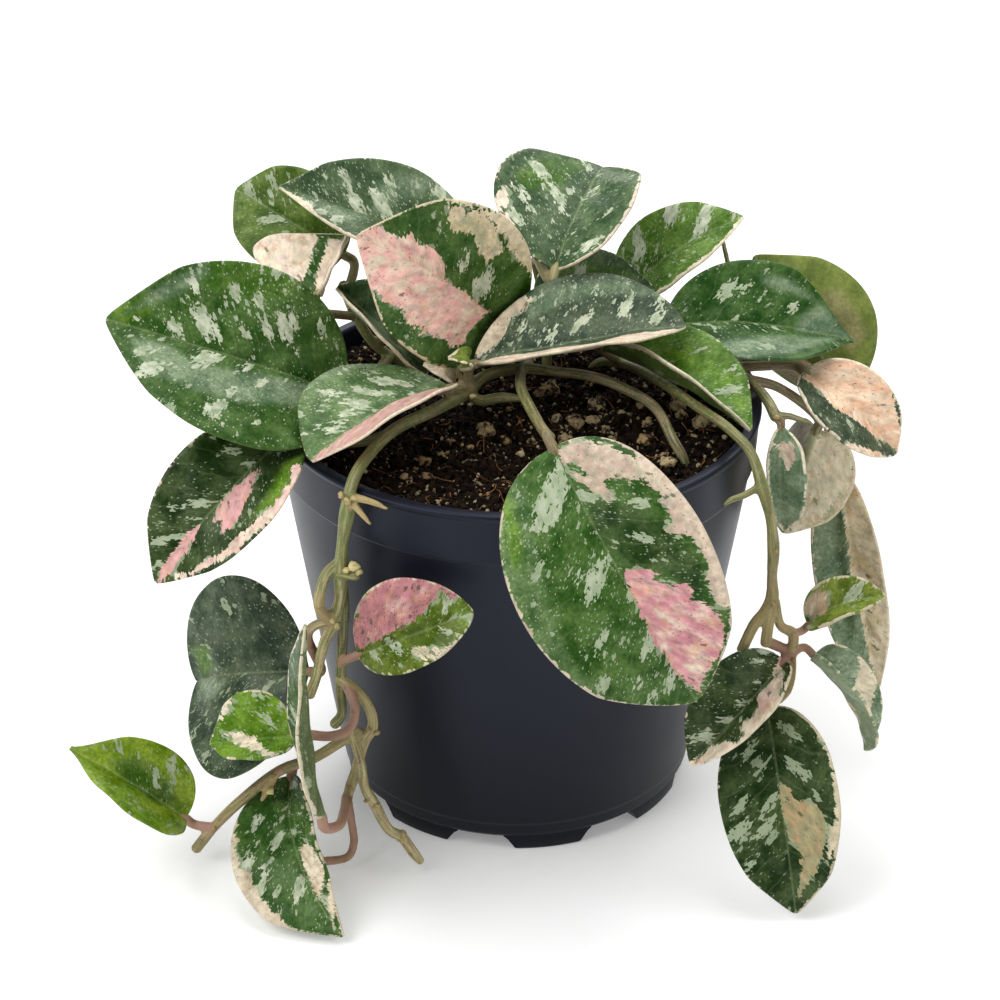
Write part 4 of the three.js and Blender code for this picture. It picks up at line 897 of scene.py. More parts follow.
# The curves of the solids, as (x, y, z, radius) in mm. A petiole has its leaf, its start on the vine, its radius,
# how many mm it runs straight into the leaf, and the points it passes.
vines = {
    "vine_main": {
        "root": [(43, -30, 84, 1.9), (42.5, -29, 96, 1.9), (42, -28, 107, 1.9)],
        "stem": [(39, -25, 112, 1.8), (35, -16, 116, 1.8), (28, -10, 118, 1.8), (20, -5, 119, 1.8),
            (11, -2, 119, 1.9), (1, 0, 119, 2.1), (-8, -2, 118, 2.2), (-13, -9, 117, 2.8), (-20, -18, 117, 2.4),
            (-31, -30, 117, 2.3), (-37, -42, 116.2, 2.2), (-39.8, -48, 114.3, 2.2), (-41.5, -51.5, 110, 2.2),
            (-42, -52, 105.5, 2.8), (-43.3, -51.6, 97, 2.1), (-44, -51, 88, 2.7), (-44.5, -50.5, 80, 2.1),
            (-46, -50, 74, 2.6), (-49, -50, 66, 2), (-51, -50, 57, 1.8), (-53, -50, 51, 1.6)],
        "shoots": [
            [(-44, -51, 88, 1.6), (-41, -53, 88.6, 1.9), (-39.6, -53.6, 89, 1.2)],
            [(-44.3, -50, 91, 1.2), (-47.4, -52, 88.5, 1.4), (-49, -53, 84, 1.5), (-49.4, -53, 79, 1.5),
                (-46.5, -50.5, 73.5, 1.4)],
            [(-41, -52, 109.5, 1), (-39.6, -54, 108.6, 0.9), (-38, -55.6, 107.3, 0.75), (-36, -57, 105.4, 0.45)],
            [(-41, -52, 110.4, 1), (-38.5, -53.9, 110.9, 0.95), (-35, -55, 110.3, 0.8), (-31.9, -56, 109.2, 0.45)],
            [(1, 0, 119, 1.9), (1, -14, 120.5, 1.7), (4, -30, 121.5, 1.7), (6.5, -42, 123, 2),
                (7.8, -47.5, 124.2, 2.1)],
            [(-13, -9, 117, 1.5), (-10, -8, 114, 1.5), (-4, -4, 112.6, 1.4), (1, -4, 112.4, 1)],
            [(-43.8, -50, 85, 1.7), (-43.6, -47.5, 78, 1.7), (-44, -48, 70, 1.7), (-44.5, -49, 62, 1.8),
                (-45, -50, 53, 1.9), (-45, -50, 45, 1.9), (-47, -50, 42, 1.4)],
            [(-45, -50, 56, 1.9), (-42, -52, 55, 1.8), (-39, -53, 52, 1.8), (-37, -53, 47, 1.8), (-37, -53, 43, 2.1),
                (-39, -53, 39, 1.8), (-41, -53, 32, 1.8), (-43, -53, 25, 2.1), (-44, -53, 21, 1.7)],
            [(-40, -53, 42, 1.6), (-45, -53, 39, 1.6), (-52, -53, 34, 1.6), (-61, -53, 30, 1.7), (-72, -53, 20, 1.6),
                (-79, -53, 12, 1.9), (-84, -53, 5, 1.4)],
            [(-42, -53.5, 41, 1.2), (-40, -57, 35, 1.3), (-39, -57, 27, 1.3), (-37, -57, 23, 1.6),
                (-33, -57, 14, 1.3), (-30, -57, 12, 1.6), (-27, -57, 7, 1.4), (-25, -57, 4, 1.1)],
            [(-62, -53, 28.5, 0.8), (-64, -54, 25, 0.8), (-66, -55, 22, 0.6)],
        ],
        "petioles": [
            ("leaf_low_left_dark", (-46, -50, 73.5), 1.4, 3, (-51, -50, 72), (-53, -48.5, 68)),
            ("leaf_front_large", (7, -44, 123.4), 2, 3),
            ("leaf_left_rim", (-13, -9, 117.5), 1.6, 3),
            ("leaf_left_pink_streak", (-30, -29, 117), 1.3, 1, (-38, -29.5, 113.6), (-48, -28.7, 112.5),
                (-53, -28.2, 114)),
            ("leaf_centre_long", (-12, -7, 117.5), 1.4, 1),
            ("leaf_centre_pink", (1, 0, 118.5), 1.6, 3, (3, 9, 116)),
            ("leaf_centre_tucked", (-13, -8, 117), 1.5, 3),
            ("bud_leaf_upper", (-13, -9, 118), 0.8, 1),
            ("bud_leaf_lower", (-12, -8, 118), 0.8, 1),
            ("leaf_front_small", (-44.5, -49.5, 61), 1.2, 3),
            ("leaf_low_left_bright", (-43.5, -51, 55.5), 1.4, 3, (-41, -57, 52), (-42.5, -60, 47.5), (-47, -61, 46)),
            ("leaf_low_left_edge", (-44, -53, 22), 1.5, 3, (-44.3, -60, 22.3), (-45.5, -69, 24)),
            ("leaf_low_left_tip", (-79, -53, 12), 1.3, 3),
            ("leaf_low_front", (-61, -53, 30), 1.4, 3),
            ("leaf_low_hidden", (-44, -53, 22), 1.2, 1.5, (-43, -53.5, 14), (-42.5, -54.5, 8), (-44, -55.5, 4.5)),
        ],
    },
    "vine_back_left": {
        "root": [(-20, 14, 84, 2), (-21, 14, 96, 2), (-23, 13, 107, 2)],
        "stem": [(-30, 11, 115, 1.9), (-37, 8, 122, 1.9), (-42, 8, 131, 1.8), (-45, 11, 138, 1.7)],
        "shoots": [],
        "petioles": [
            ("leaf_back_left_round", (-44, 10, 135), 1.3, 3),
            ("leaf_back_left_long", (-37, 8, 122), 1.4, 3, (-22, 16, 132)),
            ("leaf_left_folded_pink", (-42, 8, 130), 1.2, 3),
            ("leaf_left_large", (-33, 9.5, 118), 1.7, 3),
        ],
    },
    "vine_back_right": {
        "root": [(6, 26, 84, 2), (7, 25, 96, 2), (8, 24, 107, 2)],
        "stem": [(8, 26, 116, 1.9), (7.5, 29.5, 124, 1.8), (6, 30, 131, 1.7), (5, 27.5, 137, 1.5)],
        "shoots": [],
        "petioles": [
            ("leaf_top", (5, 28, 136.5), 1.5, 3, (5.5, 20, 140.3)),
            ("leaf_top_right", (7.8, 29, 122), 1.4, 3, (17, 35, 120)),
            ("leaf_centre_back", (8.5, 24, 115), 1.3, 2, (4, 19, 119)),
        ],
    },
    "vine_rear": {
        "root": [(-4, 44, 84, 1.9), (-4, 45, 96, 1.9), (-4, 47, 107, 1.9)],
        "stem": [(-5, 54, 114, 1.9), (-6, 62, 116, 1.9), (-6.5, 68.5, 112, 2), (-6, 69.5, 103, 2.3),
            (-5, 69, 90, 1.9), (-4, 68, 78, 2.1), (-4, 67, 70, 1.5)],
        "shoots": [
            [(-5, 69, 90, 0.9), (-1, 69.5, 91.5, 0.8), (3, 69, 92, 0.5)],
        ],
        "petioles": [
            ("leaf_rear_upper", (-6.3, 69, 108), 1.4, 3),
            ("leaf_rear_right", (-6, 69.5, 102), 1.4, 3),
            ("leaf_rear_low", (-4, 68, 77), 1.3, 3),
        ],
    },
    "vine_right": {
        "root": [(16, 30, 84, 2), (18, 28, 96, 2), (21, 25, 107, 2)],
        "stem": [(27, 15, 113, 1.9), (35, 1, 116, 1.9), (46, -17.5, 116.8, 1.9), (53, -29, 116.7, 1.9),
            (58, -35, 113.5, 1.9), (61, -41, 106, 2.3), (63, -43, 99, 1.9), (64, -44, 91, 2.3), (64, -44, 83, 1.9),
            (64, -45, 76, 2.5), (60, -46, 70, 1.6), (57, -46, 62, 1.4)],
        "shoots": [
            [(64, -45, 76, 1.7), (63.5, -46, 70, 1.6), (63, -46, 64, 1.5)],
            [(65, -44.5, 76, 1.2), (67, -44, 68, 1.2), (70, -44, 66, 1.4), (70, -44, 59, 1.3), (70, -45.5, 55.5, 1.3),
                (69, -48, 51.5, 1.2), (66.5, -50, 49.5, 1.2)],
            [(61, -40, 107, 1), (56, -42, 105, 0.9), (53, -44, 105, 0.8), (51, -45, 104, 0.5)],
        ],
        "petioles": [
            ("leaf_right_rim", (27, 15, 113.5), 1.5, 3),
            ("leaf_right_speckled", (63, -46, 65), 1.4, 3),
            ("leaf_right_small", (70, -44, 66), 1.1, 3),
            ("leaf_right_grey", (70, -44.2, 60), 1.1, 3),
            ("leaf_right_lowest", (69, -48, 51.5), 1.2, 3),
        ],
    },
    "vine_right_back": {
        "root": [(40, 28, 84, 2), (42, 27, 96, 2), (46, 24, 107, 2)],
        "stem": [(53, 16, 114, 1.9), (59, 4, 115, 1.9), (64, -9, 114.6, 2), (66, -15, 112.6, 2.2)],
        "shoots": [
            [(53, 16, 114.4, 0.9), (57, 30, 118, 0.8), (57.3, 34, 128, 0.75), (55.9, 34.3, 134, 0.7),
                (54.6, 35.3, 139.3, 0.65)],
            [(65.5, -14.5, 112.8, 1), (69, -14, 112.6, 0.9), (72, -13.5, 111.4, 0.8), (75, -13, 110, 0.5)],
        ],
        "petioles": [
            ("leaf_right_dark", (53, 16, 114.4), 1.4, 3),
            ("leaf_right_pink", (57, 9, 114.8), 1.4, 3),
            ("leaf_right_pale", (60, 2, 114.8), 1.4, 3, (68, 3, 112)),
            ("leaf_right_olive", (56, 11, 114.6), 1.4, 1.5, (70, 21, 112.5), (83, 25, 103), (90.5, 27, 95)),
            ("leaf_right_behind", (66, -15, 112.6), 1.1, 1),
            ("leaf_right_tan", (56, 12, 114.4), 1.4, 3, (68, 15, 112.5), (77, 18, 104), (83, 19, 93)),
        ],
    },
}

vineLook = {
    "sides": 12,
    "stepsPerSpan": 7,
    "slim": ((1.0, 1.4, 1.6, 1.9), (1.06, 1.04, 0.93, 0.72)),   # a thick vine is thinner than its solid
    "voxel": 0.0004,            # m, fuses the tubes into one skin
    "smoothing": 7,
    "intoLeaf": 1.6,            # mm that a petiole reaches under its blade
    "shortOf": 0.6,             # mm before the blade where it straightens
    "relief": 0.00016,
    # shares of brown, pale, dark and wine: the strands that hang at the left, by their place among the routes,
    # and the thin shoot that reaches up behind
    "strands": {0: (0.25, 0.95, 0.0, 0.0), 2: (0.7, 0.8, 0.0, 0.1), 7: (0.1, 0.3, 0.65, 0.0), 8: (0.45, 0.6, 0.1, 0.05),
                9: (0.4, 0.3, 0.55, 0.1), 10: (0.3, 1.0, 0.0, 0.2), 11: (1.0, 1.0, 0.0, 0.0)},
    "thinShoot": (0.2, 1.0, 0.0, 0.0),
    "spikes": (3, 4),
    # height in mm, or x for the middle stem, and the share there
    "mainBrown": ((30, 62, 74, 100), (0.95, 0.75, 0.15, 0.1)),
    "mainPale": ((60, 70, 86, 92), (0.3, 0.9, 0.6, 0.2)),
    # the middle stem's dark share grows to the right, under the leaves: its own dark olive and painted shadow
    "middleDarkAndShadow": ((-12, 8, 30), (0.3, 0.7, 1.0)),
    "rightBrown": ((45, 70, 85, 110), (0.8, 0.55, 0.3, 0.1)),
    **palette(green="#66763a", dark="#343f1c", pale="#c6bf90", brown="#b59c6c", rose="#a0796a", scar="#5e4a30",
              cork="#95794f", bud="#d8cb8e"),
}


def curveThrough(route, perSpan):
    # a centripetal curve through the route's points, with its radii
    pts = np.array([p[:3] for p in route], float)
    radii = np.array([p[3] for p in route], float)
    n = len(pts)
    centres, widths = [], []
    for i in range(n - 1):
        p1, p2 = pts[i], pts[i + 1]
        p0 = pts[i - 1] if i else 2 * p1 - p2
        p3 = pts[i + 2] if i + 2 < n else 2 * p2 - p1
        d0, d1, d2 = (max(np.linalg.norm(b - a), 1e-4) ** 0.5 for a, b in ((p0, p1), (p1, p2), (p2, p3)))
        m1 = ((p1 - p0) / d0 - (p2 - p0) / (d0 + d1) + (p2 - p1) / d1) * d1
        m2 = ((p2 - p1) / d1 - (p3 - p1) / (d1 + d2) + (p3 - p2) / d2) * d1
        for k in range(perSpan + (i == n - 2)):
            s = k / perSpan
            centres.append((2 * s ** 3 - 3 * s ** 2 + 1) * p1 + (s ** 3 - 2 * s ** 2 + s) * m1
                           + (3 * s ** 2 - 2 * s ** 3) * p2 + (s ** 3 - s ** 2) * m2)
            ease = s * s * (3 - 2 * s)
            widths.append(radii[i] * (1 - ease) + radii[i + 1] * ease)
    return np.array(centres), np.array(widths)


def tubeAlong(centres, widths, sides):
    # rings of a closed tube, rounded at both ends
    tangents = unit(np.gradient(centres, axis=0))
    start = centres[0] - tangents[0] * widths[0] * 0.5
    stop = centres[-1] + tangents[-1] * widths[-1] * 0.5
    centres = np.vstack([start, centres, stop])
    tangents = np.vstack([tangents[0], tangents, tangents[-1]])
    widths = np.concatenate([[widths[0] * 0.55], widths, [widths[-1] * 0.55]])
    across = np.array([0.31, 0.52, 0.79])
    verts = []
    for c, tangent, r in zip(centres, tangents, widths):
        across = unit(across - tangent * (across @ tangent))
        beside = np.cross(tangent, across)
        for k in range(sides):
            a = 2 * math.pi * k / sides
            verts.append(c + (across * math.cos(a) + beside * math.sin(a)) * r)
    ends = [tuple(reversed(range(sides))), tuple(range(len(verts) - sides, len(verts)))]
    return verts, bandFaces(len(centres) - 1, sides) + ends


def petioleRoute(leafName, start, radius, straight, *via):
    # from the vine past the points of via, then straight on to just under the blade
    leaf = leaves[leafName]
    base, normal = leafPoint(leaf, 0.0, 0.0), leafNormal(leaf, 0.0, 0.0)
    middle = base - normal * leafLook["midThickness"] / 2
    heading = unit(leafPoint(leaf, 0.02, 0.0) - base)
    approach = middle - heading * (straight + vineLook["shortOf"])
    inside = middle + heading * vineLook["intoLeaf"] - normal * 0.35
    return [(*start, radius), *((*p, radius * 0.9) for p in via), (*approach, radius * 0.95),
            (*(middle - heading * vineLook["shortOf"]), radius), (*inside, radius * 0.6)]


def makeVine(name, vine, material):
    routes = [vine["root"] + vine["stem"], *vine["shoots"], *(petioleRoute(*p) for p in vine["petioles"])]
    tubes, samples = [], []
    for r, route in enumerate(routes):
        centres, widths = curveThrough(route, vineLook["stepsPerSpan"])
        run = np.concatenate([[0], np.cumsum(np.linalg.norm(np.diff(centres, axis=0), axis=1))])
        samples += [(*sample, r) for sample in zip(centres, run, unit(np.gradient(centres, axis=0)))]
        tubes.append(tubeAlong(centres, widths * np.interp(widths, *vineLook["slim"]), vineLook["sides"]))
    verts, faces = joined(tubes)
    obj = newPiece(name + "_stems", toFrame(verts), faces, material)
    remesh = obj.modifiers.new("skin", "REMESH")
    remesh.mode = "VOXEL"
    remesh.voxel_size = vineLook["voxel"]
    remesh.use_smooth_shade = True
    smooth = obj.modifiers.new("soft", "SMOOTH")
    smooth.factor = 0.5
    smooth.iterations = vineLook["smoothing"]
    mesh = baked(obj).data
    # each point takes its place along and around the nearest stretch of vine
    tree = kdtree.KDTree(len(samples))
    for i, sample in enumerate(samples):
        tree.insert(sample[0], i)
    tree.balance()
    co = np.empty(len(mesh.vertices) * 3)
    mesh.vertices.foreach_get("co", co)
    place, tone = [], []
    for p in (co.reshape(-1, 3) - np.array([axisX, axisY, 0])) * 1000:
        _, i, away = tree.find(p)
        c, run, tangent, r = samples[i]
        d = p - c
        beside = unit(np.cross(tangent, (0.25, -1.0, 0.35)))
        place.append((run + d @ tangent + r * 31.0, d @ beside / away, d @ np.cross(tangent, beside) / away))
        tone.append(vineTone(name, p, r, r > len(vine["shoots"])))
    store(mesh, "vinePlace", "FLOAT_VECTOR", place)
    store(mesh, "vineTone", "FLOAT_COLOR", tone)
    mesh.shade_smooth()
    return obj


def vineTone(name, p, route, isStalk):
    # shares of brown, pale, dark and wine at a point of a vine, which is given in mm; dark is partly the stems' own
    # dark olive and partly painted shadow of the leaves over them
    x, y, z = p
    look = vineLook
    brown, pale, dark = 0.1, 0.2, 0.1
    if name == "vine_main":
        if z < 84 and route in look["strands"]:
            return look["strands"][route]
        brown = float(np.interp(z, *look["mainBrown"]))
        if x > -16 and z > 110:
            brown = 0.15
        if route in look["spikes"] and y < -53.2:
            brown = 0.75
        if x < -40:
            pale = float(np.interp(z, *look["mainPale"]))
            dark = 0.35 if y > -49.8 and z < 90 else dark
        # painted shadow: the middle stem darkens to the right, where the leaves lie over it
        if x > -16 and z > 84:
            dark = float(np.interp(x, *look["middleDarkAndShadow"]))
    elif name == "vine_right":
        brown, dark = float(np.interp(z, *look["rightBrown"])), 0.35
    elif name == "vine_right_back":
        if z > 124:
            return look["thinShoot"]
        # painted shade: this stem lies under the leaves
        dark = 0.75
    # leaf stalks of the lower leaves are wine brown
    wine = (0.8 if z < 70 else 0.3) if isStalk else 0.05
    return brown, pale, dark, wine


def makeVineMaterial():
    material, w, surface = newMaterial("vineBark", IOR=1.45)
    look, obj, tone = vineLook, w.place(), w.attribute("vineTone")
    brown, pale, dark = w.channels(tone["Color"])
    along, beside, above = w.split(w.attribute("vinePlace")["Vector"])

    def drawn(length, width):
        # the place on the vine, drawn out along it
        return w.join(w.times(along, length), w.times(beside, width), w.times(above, width))

    def loose(share, clouds, amount):
        return w.plus(share, w.times(w.minus(clouds, 0.5), amount), clamp=True)

    cloud = w.noise(obj, 180.0, 3.0, 0.6)
    grain = w.noise(drawn(0.25, 1.6), 1.0, 4.0, 0.65)
    # the dark share: the stems' own dark olive, with painted shadow where the leaves lie over them
    green = w.mix(loose(dark, cloud, 0.6), look["green"], look["dark"])
    streaks = w.ramp(w.noise(drawn(0.12, 2.6), 1.0, 3.0, 0.6), 0.42, 0.66)
    light = w.mix(w.times(w.plus(pale, 0.25), streaks), green, look["pale"])
    bark = w.mix(loose(brown, grain, 1.2), light, look["brown"])
    mixed = w.mix(loose(tone["Alpha"], cloud, 1.2), bark, look["rose"])
    scars = w.ramp(w.noise(obj, 420.0, 2.0, 0.6), 0.6, 0.72)
    w.put(surface["Base Color"], w.mix(w.times(scars, 0.45), mixed, look["scar"]))
    w.put(surface["Roughness"], w.ramp(grain, 0.2, 0.8, 0.42, 0.62, smooth=False))
    relief = w.plus(w.times(grain, 0.7), w.times(w.noise(obj, 900.0, 2.0), 0.4))
    w.put(surface["Normal"], w.bump(relief, look["relief"], 0.8))
    return material


vineBark = makeVineMaterial()
for name, vine in vines.items():
    piece = makeVine(name, vine, vineBark)
    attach(piece, "root")
    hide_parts(name)
    print(name, "faces", len(piece.data.polygons))

# corky knots on the nodes: x, y, z, size in mm, paleness
knots = [
    (-41.7, -53.9, 110.2, 1.2, 0.5), (-43.3, -52.6, 111.2, 1.0, 0.5), (-40.1, -54.0, 111.0, 1.0, 0.6),
    (-40.4, -54.1, 91.8, 1.5, 1.0), (-39.3, -54.4, 90.3, 1.2, 0.9), (-42.3, -53.6, 90.4, 1.2, 0.9),
    (-46.6, -51.8, 74.6, 1.3, 0.9), (-45.1, -51.8, 73.0, 1.1, 0.8), (-63.5, -56.0, 25.5, 1.2, 1.0),
    (-36.0, -54.0, 42.4, 1.0, 0.3), (-37.8, -54.6, 43.6, 0.8, 0.3), (-43.0, -54.2, 25.6, 0.9, 0.2),
    (-36.2, -58.0, 22.2, 1.5, 0.5), (-38.4, -57.8, 24.2, 1.3, 0.5), (-30.0, -57.2, 12.0, 1.9, 0.5),
    (-78.6, -54.2, 12.6, 0.9, 0.2), (-62.6, -54.0, 29.4, 0.8, 0.2), (-14.0, -11.0, 118.6, 1.2, 0.5),
    (-11.4, -11.6, 117.0, 1.0, 0.6), (7.9, -47.4, 125.0, 0.9, 0.3), (60.6, -41.4, 107.4, 0.9, 0.4),
    (62.0, -42.0, 105.4, 0.9, 0.3), (64.4, -46.4, 76.4, 1.1, 0.2), (70.2, -45.4, 66.2, 0.8, 0.2),
    (66.0, -16.6, 113.6, 0.8, 0.3), (64.4, -45.6, 91.0, 0.9, 0.2), (70.4, -45.6, 58.8, 0.8, 0.1),
]

lumpLook = {
    "waves": ((1.3, 0.42), (3.1, 0.26), (7, 0.12)),     # scale and depth of the dents
    "fineFrom": 1.7,            # mm, from where a lump has more faces
}


def lump(size):
    # an uneven stone: an icosphere pushed in and out by a seeded draw
    bm = bmesh.new()
    bmesh.ops.create_icosphere(bm, subdivisions=3 if size > lumpLook["fineFrom"] else 2, radius=1.0)
    verts = np.array([v.co for v in bm.verts])
    faces = [tuple(v.index for v in f.verts) for f in bm.faces]
    bm.free()
    axes = rng.uniform(0.85, 1.2, 3) * (1, 1, 0.85)
    shift = Vector(rng.uniform(0, 50, 3))
    push = [0.82 + sum(k * noise.noise(Vector(v) * f + shift) for f, k in lumpLook["waves"]) for v in verts]
    return verts * np.array(push)[:, None] * axes * size, faces


def lumpPiece(name, lumps, material, attribute):
    # lumps: x, y, z, size in mm and a tint from 0 to 1, stored under the attribute's name
    parts, tint = [], []
    for *place, size, shade in lumps:
        verts, faces = lump(size)
        parts.append((verts + np.array(place), faces))
        tint += [shade] * len(verts)
    verts, faces = joined(parts)
    obj = newPiece(name, toFrame(verts), faces, material)
    store(obj.data, attribute, "FLOAT", tint)
    return obj


def makeGrain(name, layer, tones, clouds, spots, relief=0.0003, spread=None, **fixed):
    # between the first two tones by the tint in the layer, with spots of the third where the clouds are dense
    material, w, surface = newMaterial(name, **fixed)
    cloud, tint = w.noise(w.place(), *clouds), w.attribute(layer)["Fac"]
    base = w.mix(w.ramp(tint, *spread) if spread else tint, *tones[:2])
    w.put(surface["Base Color"], w.mix(w.ramp(cloud, *spots), base, tones[2]))
    w.put(surface["Normal"], w.bump(cloud, relief))
    return material


corkyKnot = makeGrain("corkyKnot", "knotTint", (vineLook["cork"], vineLook["bud"], vineLook["scar"]),
                      (900.0, 3.0, 0.6), (0.45, 0.7, 0.0, 0.6), Roughness=0.75)
knobs = lumpPiece("stem_knots", knots, corkyKnot, "knotTint")
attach(knobs, "root")

potLook = {
    "segments": 160,
    # (radius, height, rounding) in mm, from the floor's underside over the lip and down the inside
    "profile": [
        (0, 4, 0), (45.7, 4, 0.5), (47.2, 5.4, 0.5), (47.75, 8.8, 0.3), (48.05, 9.6, 0.3), (61.5, 96.3, 0.5),
        (62.3, 97.05, 0.3), (63.05, 109.1, 0.6), (63.5, 109.8, 0.35), (63.45, 110.6, 0.4), (62.6, 111, 0.4),
        (60.6, 111, 0.5), (60.05, 110.3, 0.4), (60.2, 97, 1), (46.2, 5.9, 0.6), (0, 5.8, 0),
    ],
    "feet": 8,
    "footTurn": 10.5,           # degrees from the viewer's side to the first foot
    "footAngle": 28,
    "footRadii": (36, 46.3),
    "footSteps": 10,
    # height, inset and how many degrees narrower the foot is at each end
    "footLevels": [(0, 0.9, 3.9), (0.2, 0.4, 3.3), (0.7, 0.1, 2.8), (3.3, 0, 0.6), (3.8, 0, -0.1), (4.2, 0, -0.8),
                   (4.8, 0, -1)],
    "drains": [(0, 0, 5.6)] + [(*onCircle(30, math.radians(33 + 90 * i)), 4) for i in range(4)],    # x, y, radius
    "drainSides": 24,
    "drainCut": (2.0, 8.0),
    "sharp": 50,                # degrees, from where an edge is hard
    "paintedShadeBelow": 0.085,       # m, up to where shade is painted on the plastic, darker towards the floor
    "relief": 0.00005,
    # shaded is the painted shade at the floor
    **palette(colour="#10121d", worn="#1f2230", shaded="#020306"),
}


def roundedProfile(corners, steps=4):
    # each inner corner becomes a short arc
    pts = []
    for i, (r, z, rounding) in enumerate(corners):
        p = np.array([r, z], float)
        if i in (0, len(corners) - 1) or not rounding:
            pts.append(p)
            continue
        a = np.array(corners[i - 1][:2], float) - p
        b = np.array(corners[i + 1][:2], float) - p
        reach = min(rounding, 0.45 * np.linalg.norm(a), 0.45 * np.linalg.norm(b))
        a, b = p + unit(a) * reach, p + unit(b) * reach
        for k in range(steps + 1):
            s = k / steps
            pts.append((1 - s) ** 2 * a + 2 * s * (1 - s) * p + s * s * b)
    return np.array(pts)


def latheMesh(profile, segments):
    # the profile turned round the pot's axis, closed where it meets it
    verts, faces, rings = [], [], []
    for r, z in profile:
        if r < 1e-6:
            rings.append([len(verts)] * segments)
            verts.append((0, 0, z))
        else:
            rings.append(list(range(len(verts), len(verts) + segments)))
            verts += [(*onCircle(r, 2 * math.pi * k / segments), z) for k in range(segments)]
    for lower, upper in zip(rings, rings[1:]):
        for k in range(segments):
            n = (k + 1) % segments
            face = tuple(dict.fromkeys((lower[k], lower[n], upper[n], upper[k])))
            if len(face) > 2:
                faces.append(face)
    return verts, faces


def footMesh(number):
    # a curved block with slanted ends and softened lower edges, its top in the pot's floor
    inner, outer = potLook["footRadii"]
    middle = math.radians(potLook["footTurn"] + number * 360 / potLook["feet"])
    steps, verts = potLook["footSteps"], []
    for z, inset, narrowing in potLook["footLevels"]:
        half = math.radians(potLook["footAngle"] / 2 - narrowing)
        turns = np.linspace(middle - half, middle + half, steps + 1)
        ring = [(outer - inset, a) for a in turns] + [(inner + inset, middle + (a - middle) * 0.9) for a in turns[::-1]]
        verts += [(*onCircle(r, a), z) for r, a in ring]
    n, bands = 2 * (steps + 1), len(potLook["footLevels"]) - 1
    top, faces = bands * n, bandFaces(bands, n)
    for k in range(steps):
        faces.append((k + 1, k, n - 1 - k, n - 2 - k))
        faces.append((top + k, top + k + 1, top + n - 2 - k, top + n - 1 - k))
    return verts, faces


def makePotMaterial():
    material, w, surface = newMaterial("nurseryPlastic", IOR=1.45, Specular_IOR_Level=0.3,
                                       Specular_Tint=(0.7, 0.78, 1.0, 1.0))
    look, obj = potLook, w.place()
    x, y, z = w.split(obj)
    streak = w.noise(w.join(x, y, w.times(z, 0.12)), 160.0)
    cloud = w.noise(obj, 22.0)
    scuff = w.ramp(w.noise(obj, 260.0, 4.0, 0.7), 0.62, 0.75)
    dust = w.times(w.ramp(cloud, 0.4, 0.75), 0.35)
    base = look["colour"]
    for mask, share in ((streak, 0.25), (dust, 0.4), (scuff, 0.12)):
        base = w.mix(w.times(mask, share), base, look["worn"])
    # painted shade: the plastic darkens towards the floor
    w.put(surface["Base Color"], w.mix(w.ramp(z, 0.0, look["paintedShadeBelow"]), look["shaded"], base))
    gloss = w.ramp(cloud, 0.3, 0.7, 0.34, 0.44, smooth=False)
    w.put(surface["Roughness"], w.plus(gloss, w.times(scuff, 0.1)))
    relief = w.plus(w.times(w.noise(obj, 1500.0, 2.0), 0.5), w.times(streak, 0.5))
    w.put(surface["Normal"], w.bump(relief, look["relief"], 0.5))
    return material


def makeDrain(x, y, radius):
    # the block that cuts one drain hole
    sides = potLook["drainSides"]
    turns = [2 * math.pi * k / sides for k in range(sides)]
    verts = [(x + radius * math.cos(a), y + radius * math.sin(a), z) for z in potLook["drainCut"] for a in turns]
    ends = [tuple(reversed(range(sides))), tuple(range(sides, 2 * sides))]
    return newPiece("drain", toFrame(verts), bandFaces(1, sides) + ends)


def makePot():
    verts, faces = latheMesh(roundedProfile(potLook["profile"]), potLook["segments"])
    shell = newPiece("nursery_pot", toFrame(verts), faces)
    drains = [makeDrain(*drain) for drain in potLook["drains"]]
    for drain in drains:
        cut = shell.modifiers.new("cut", "BOOLEAN")
        cut.operation = "DIFFERENCE"
        cut.solver = "EXACT"
        cut.object = drain
    baked(shell)
    parts = [([tuple(v.co) for v in shell.data.vertices], [tuple(f.vertices) for f in shell.data.polygons])]
    for number in range(potLook["feet"]):
        verts, faces = footMesh(number)
        parts.append((toFrame(verts), faces))
    for obj in (shell, *drains):
        bpy.data.objects.remove(obj)
    pot = newPiece("nursery_pot", *joined(parts), makePotMaterial())
    pot.data.set_sharp_from_angle(angle=math.radians(potLook["sharp"]))
    return pot


pot = makePot()
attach(pot, "root")
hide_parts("pot")
print("pot faces", len(pot.data.polygons))

soilLook = {
    "top": 106.5,
    "radius": 59.6,
    "rings": 70,
    "segments": 150,
    "sides": ((97, 59.2), (6.2, 45.7)),     # height and radius of the plug under the surface
    "clumps": ((0.22, 0.9), (0.6, 1.3), (1.5, 0.6)),
    "crumbs": {"Density": 0.42e6, "Smallest": 0.0005, "Largest": 0.0015, "Seed": 5},   # per square metre, in m
    "flakes": {"Density": 0.28e6, "Smallest": 0.0002, "Largest": 0.00085, "Seed": 8},
    "fibres": 260,
    "fibreRadius": 0.16,
    "fibreReach": (57, 58.5),   # mm from the axis, of their starts and of all their points
    # dark is near black: the soil's own dark with the shade of the gaps between crumbs painted in
    **palette(dark="#040302", brown="#271a10", coir="#8a5c34", chip="#957a52", chipPale="#bba983"),
}

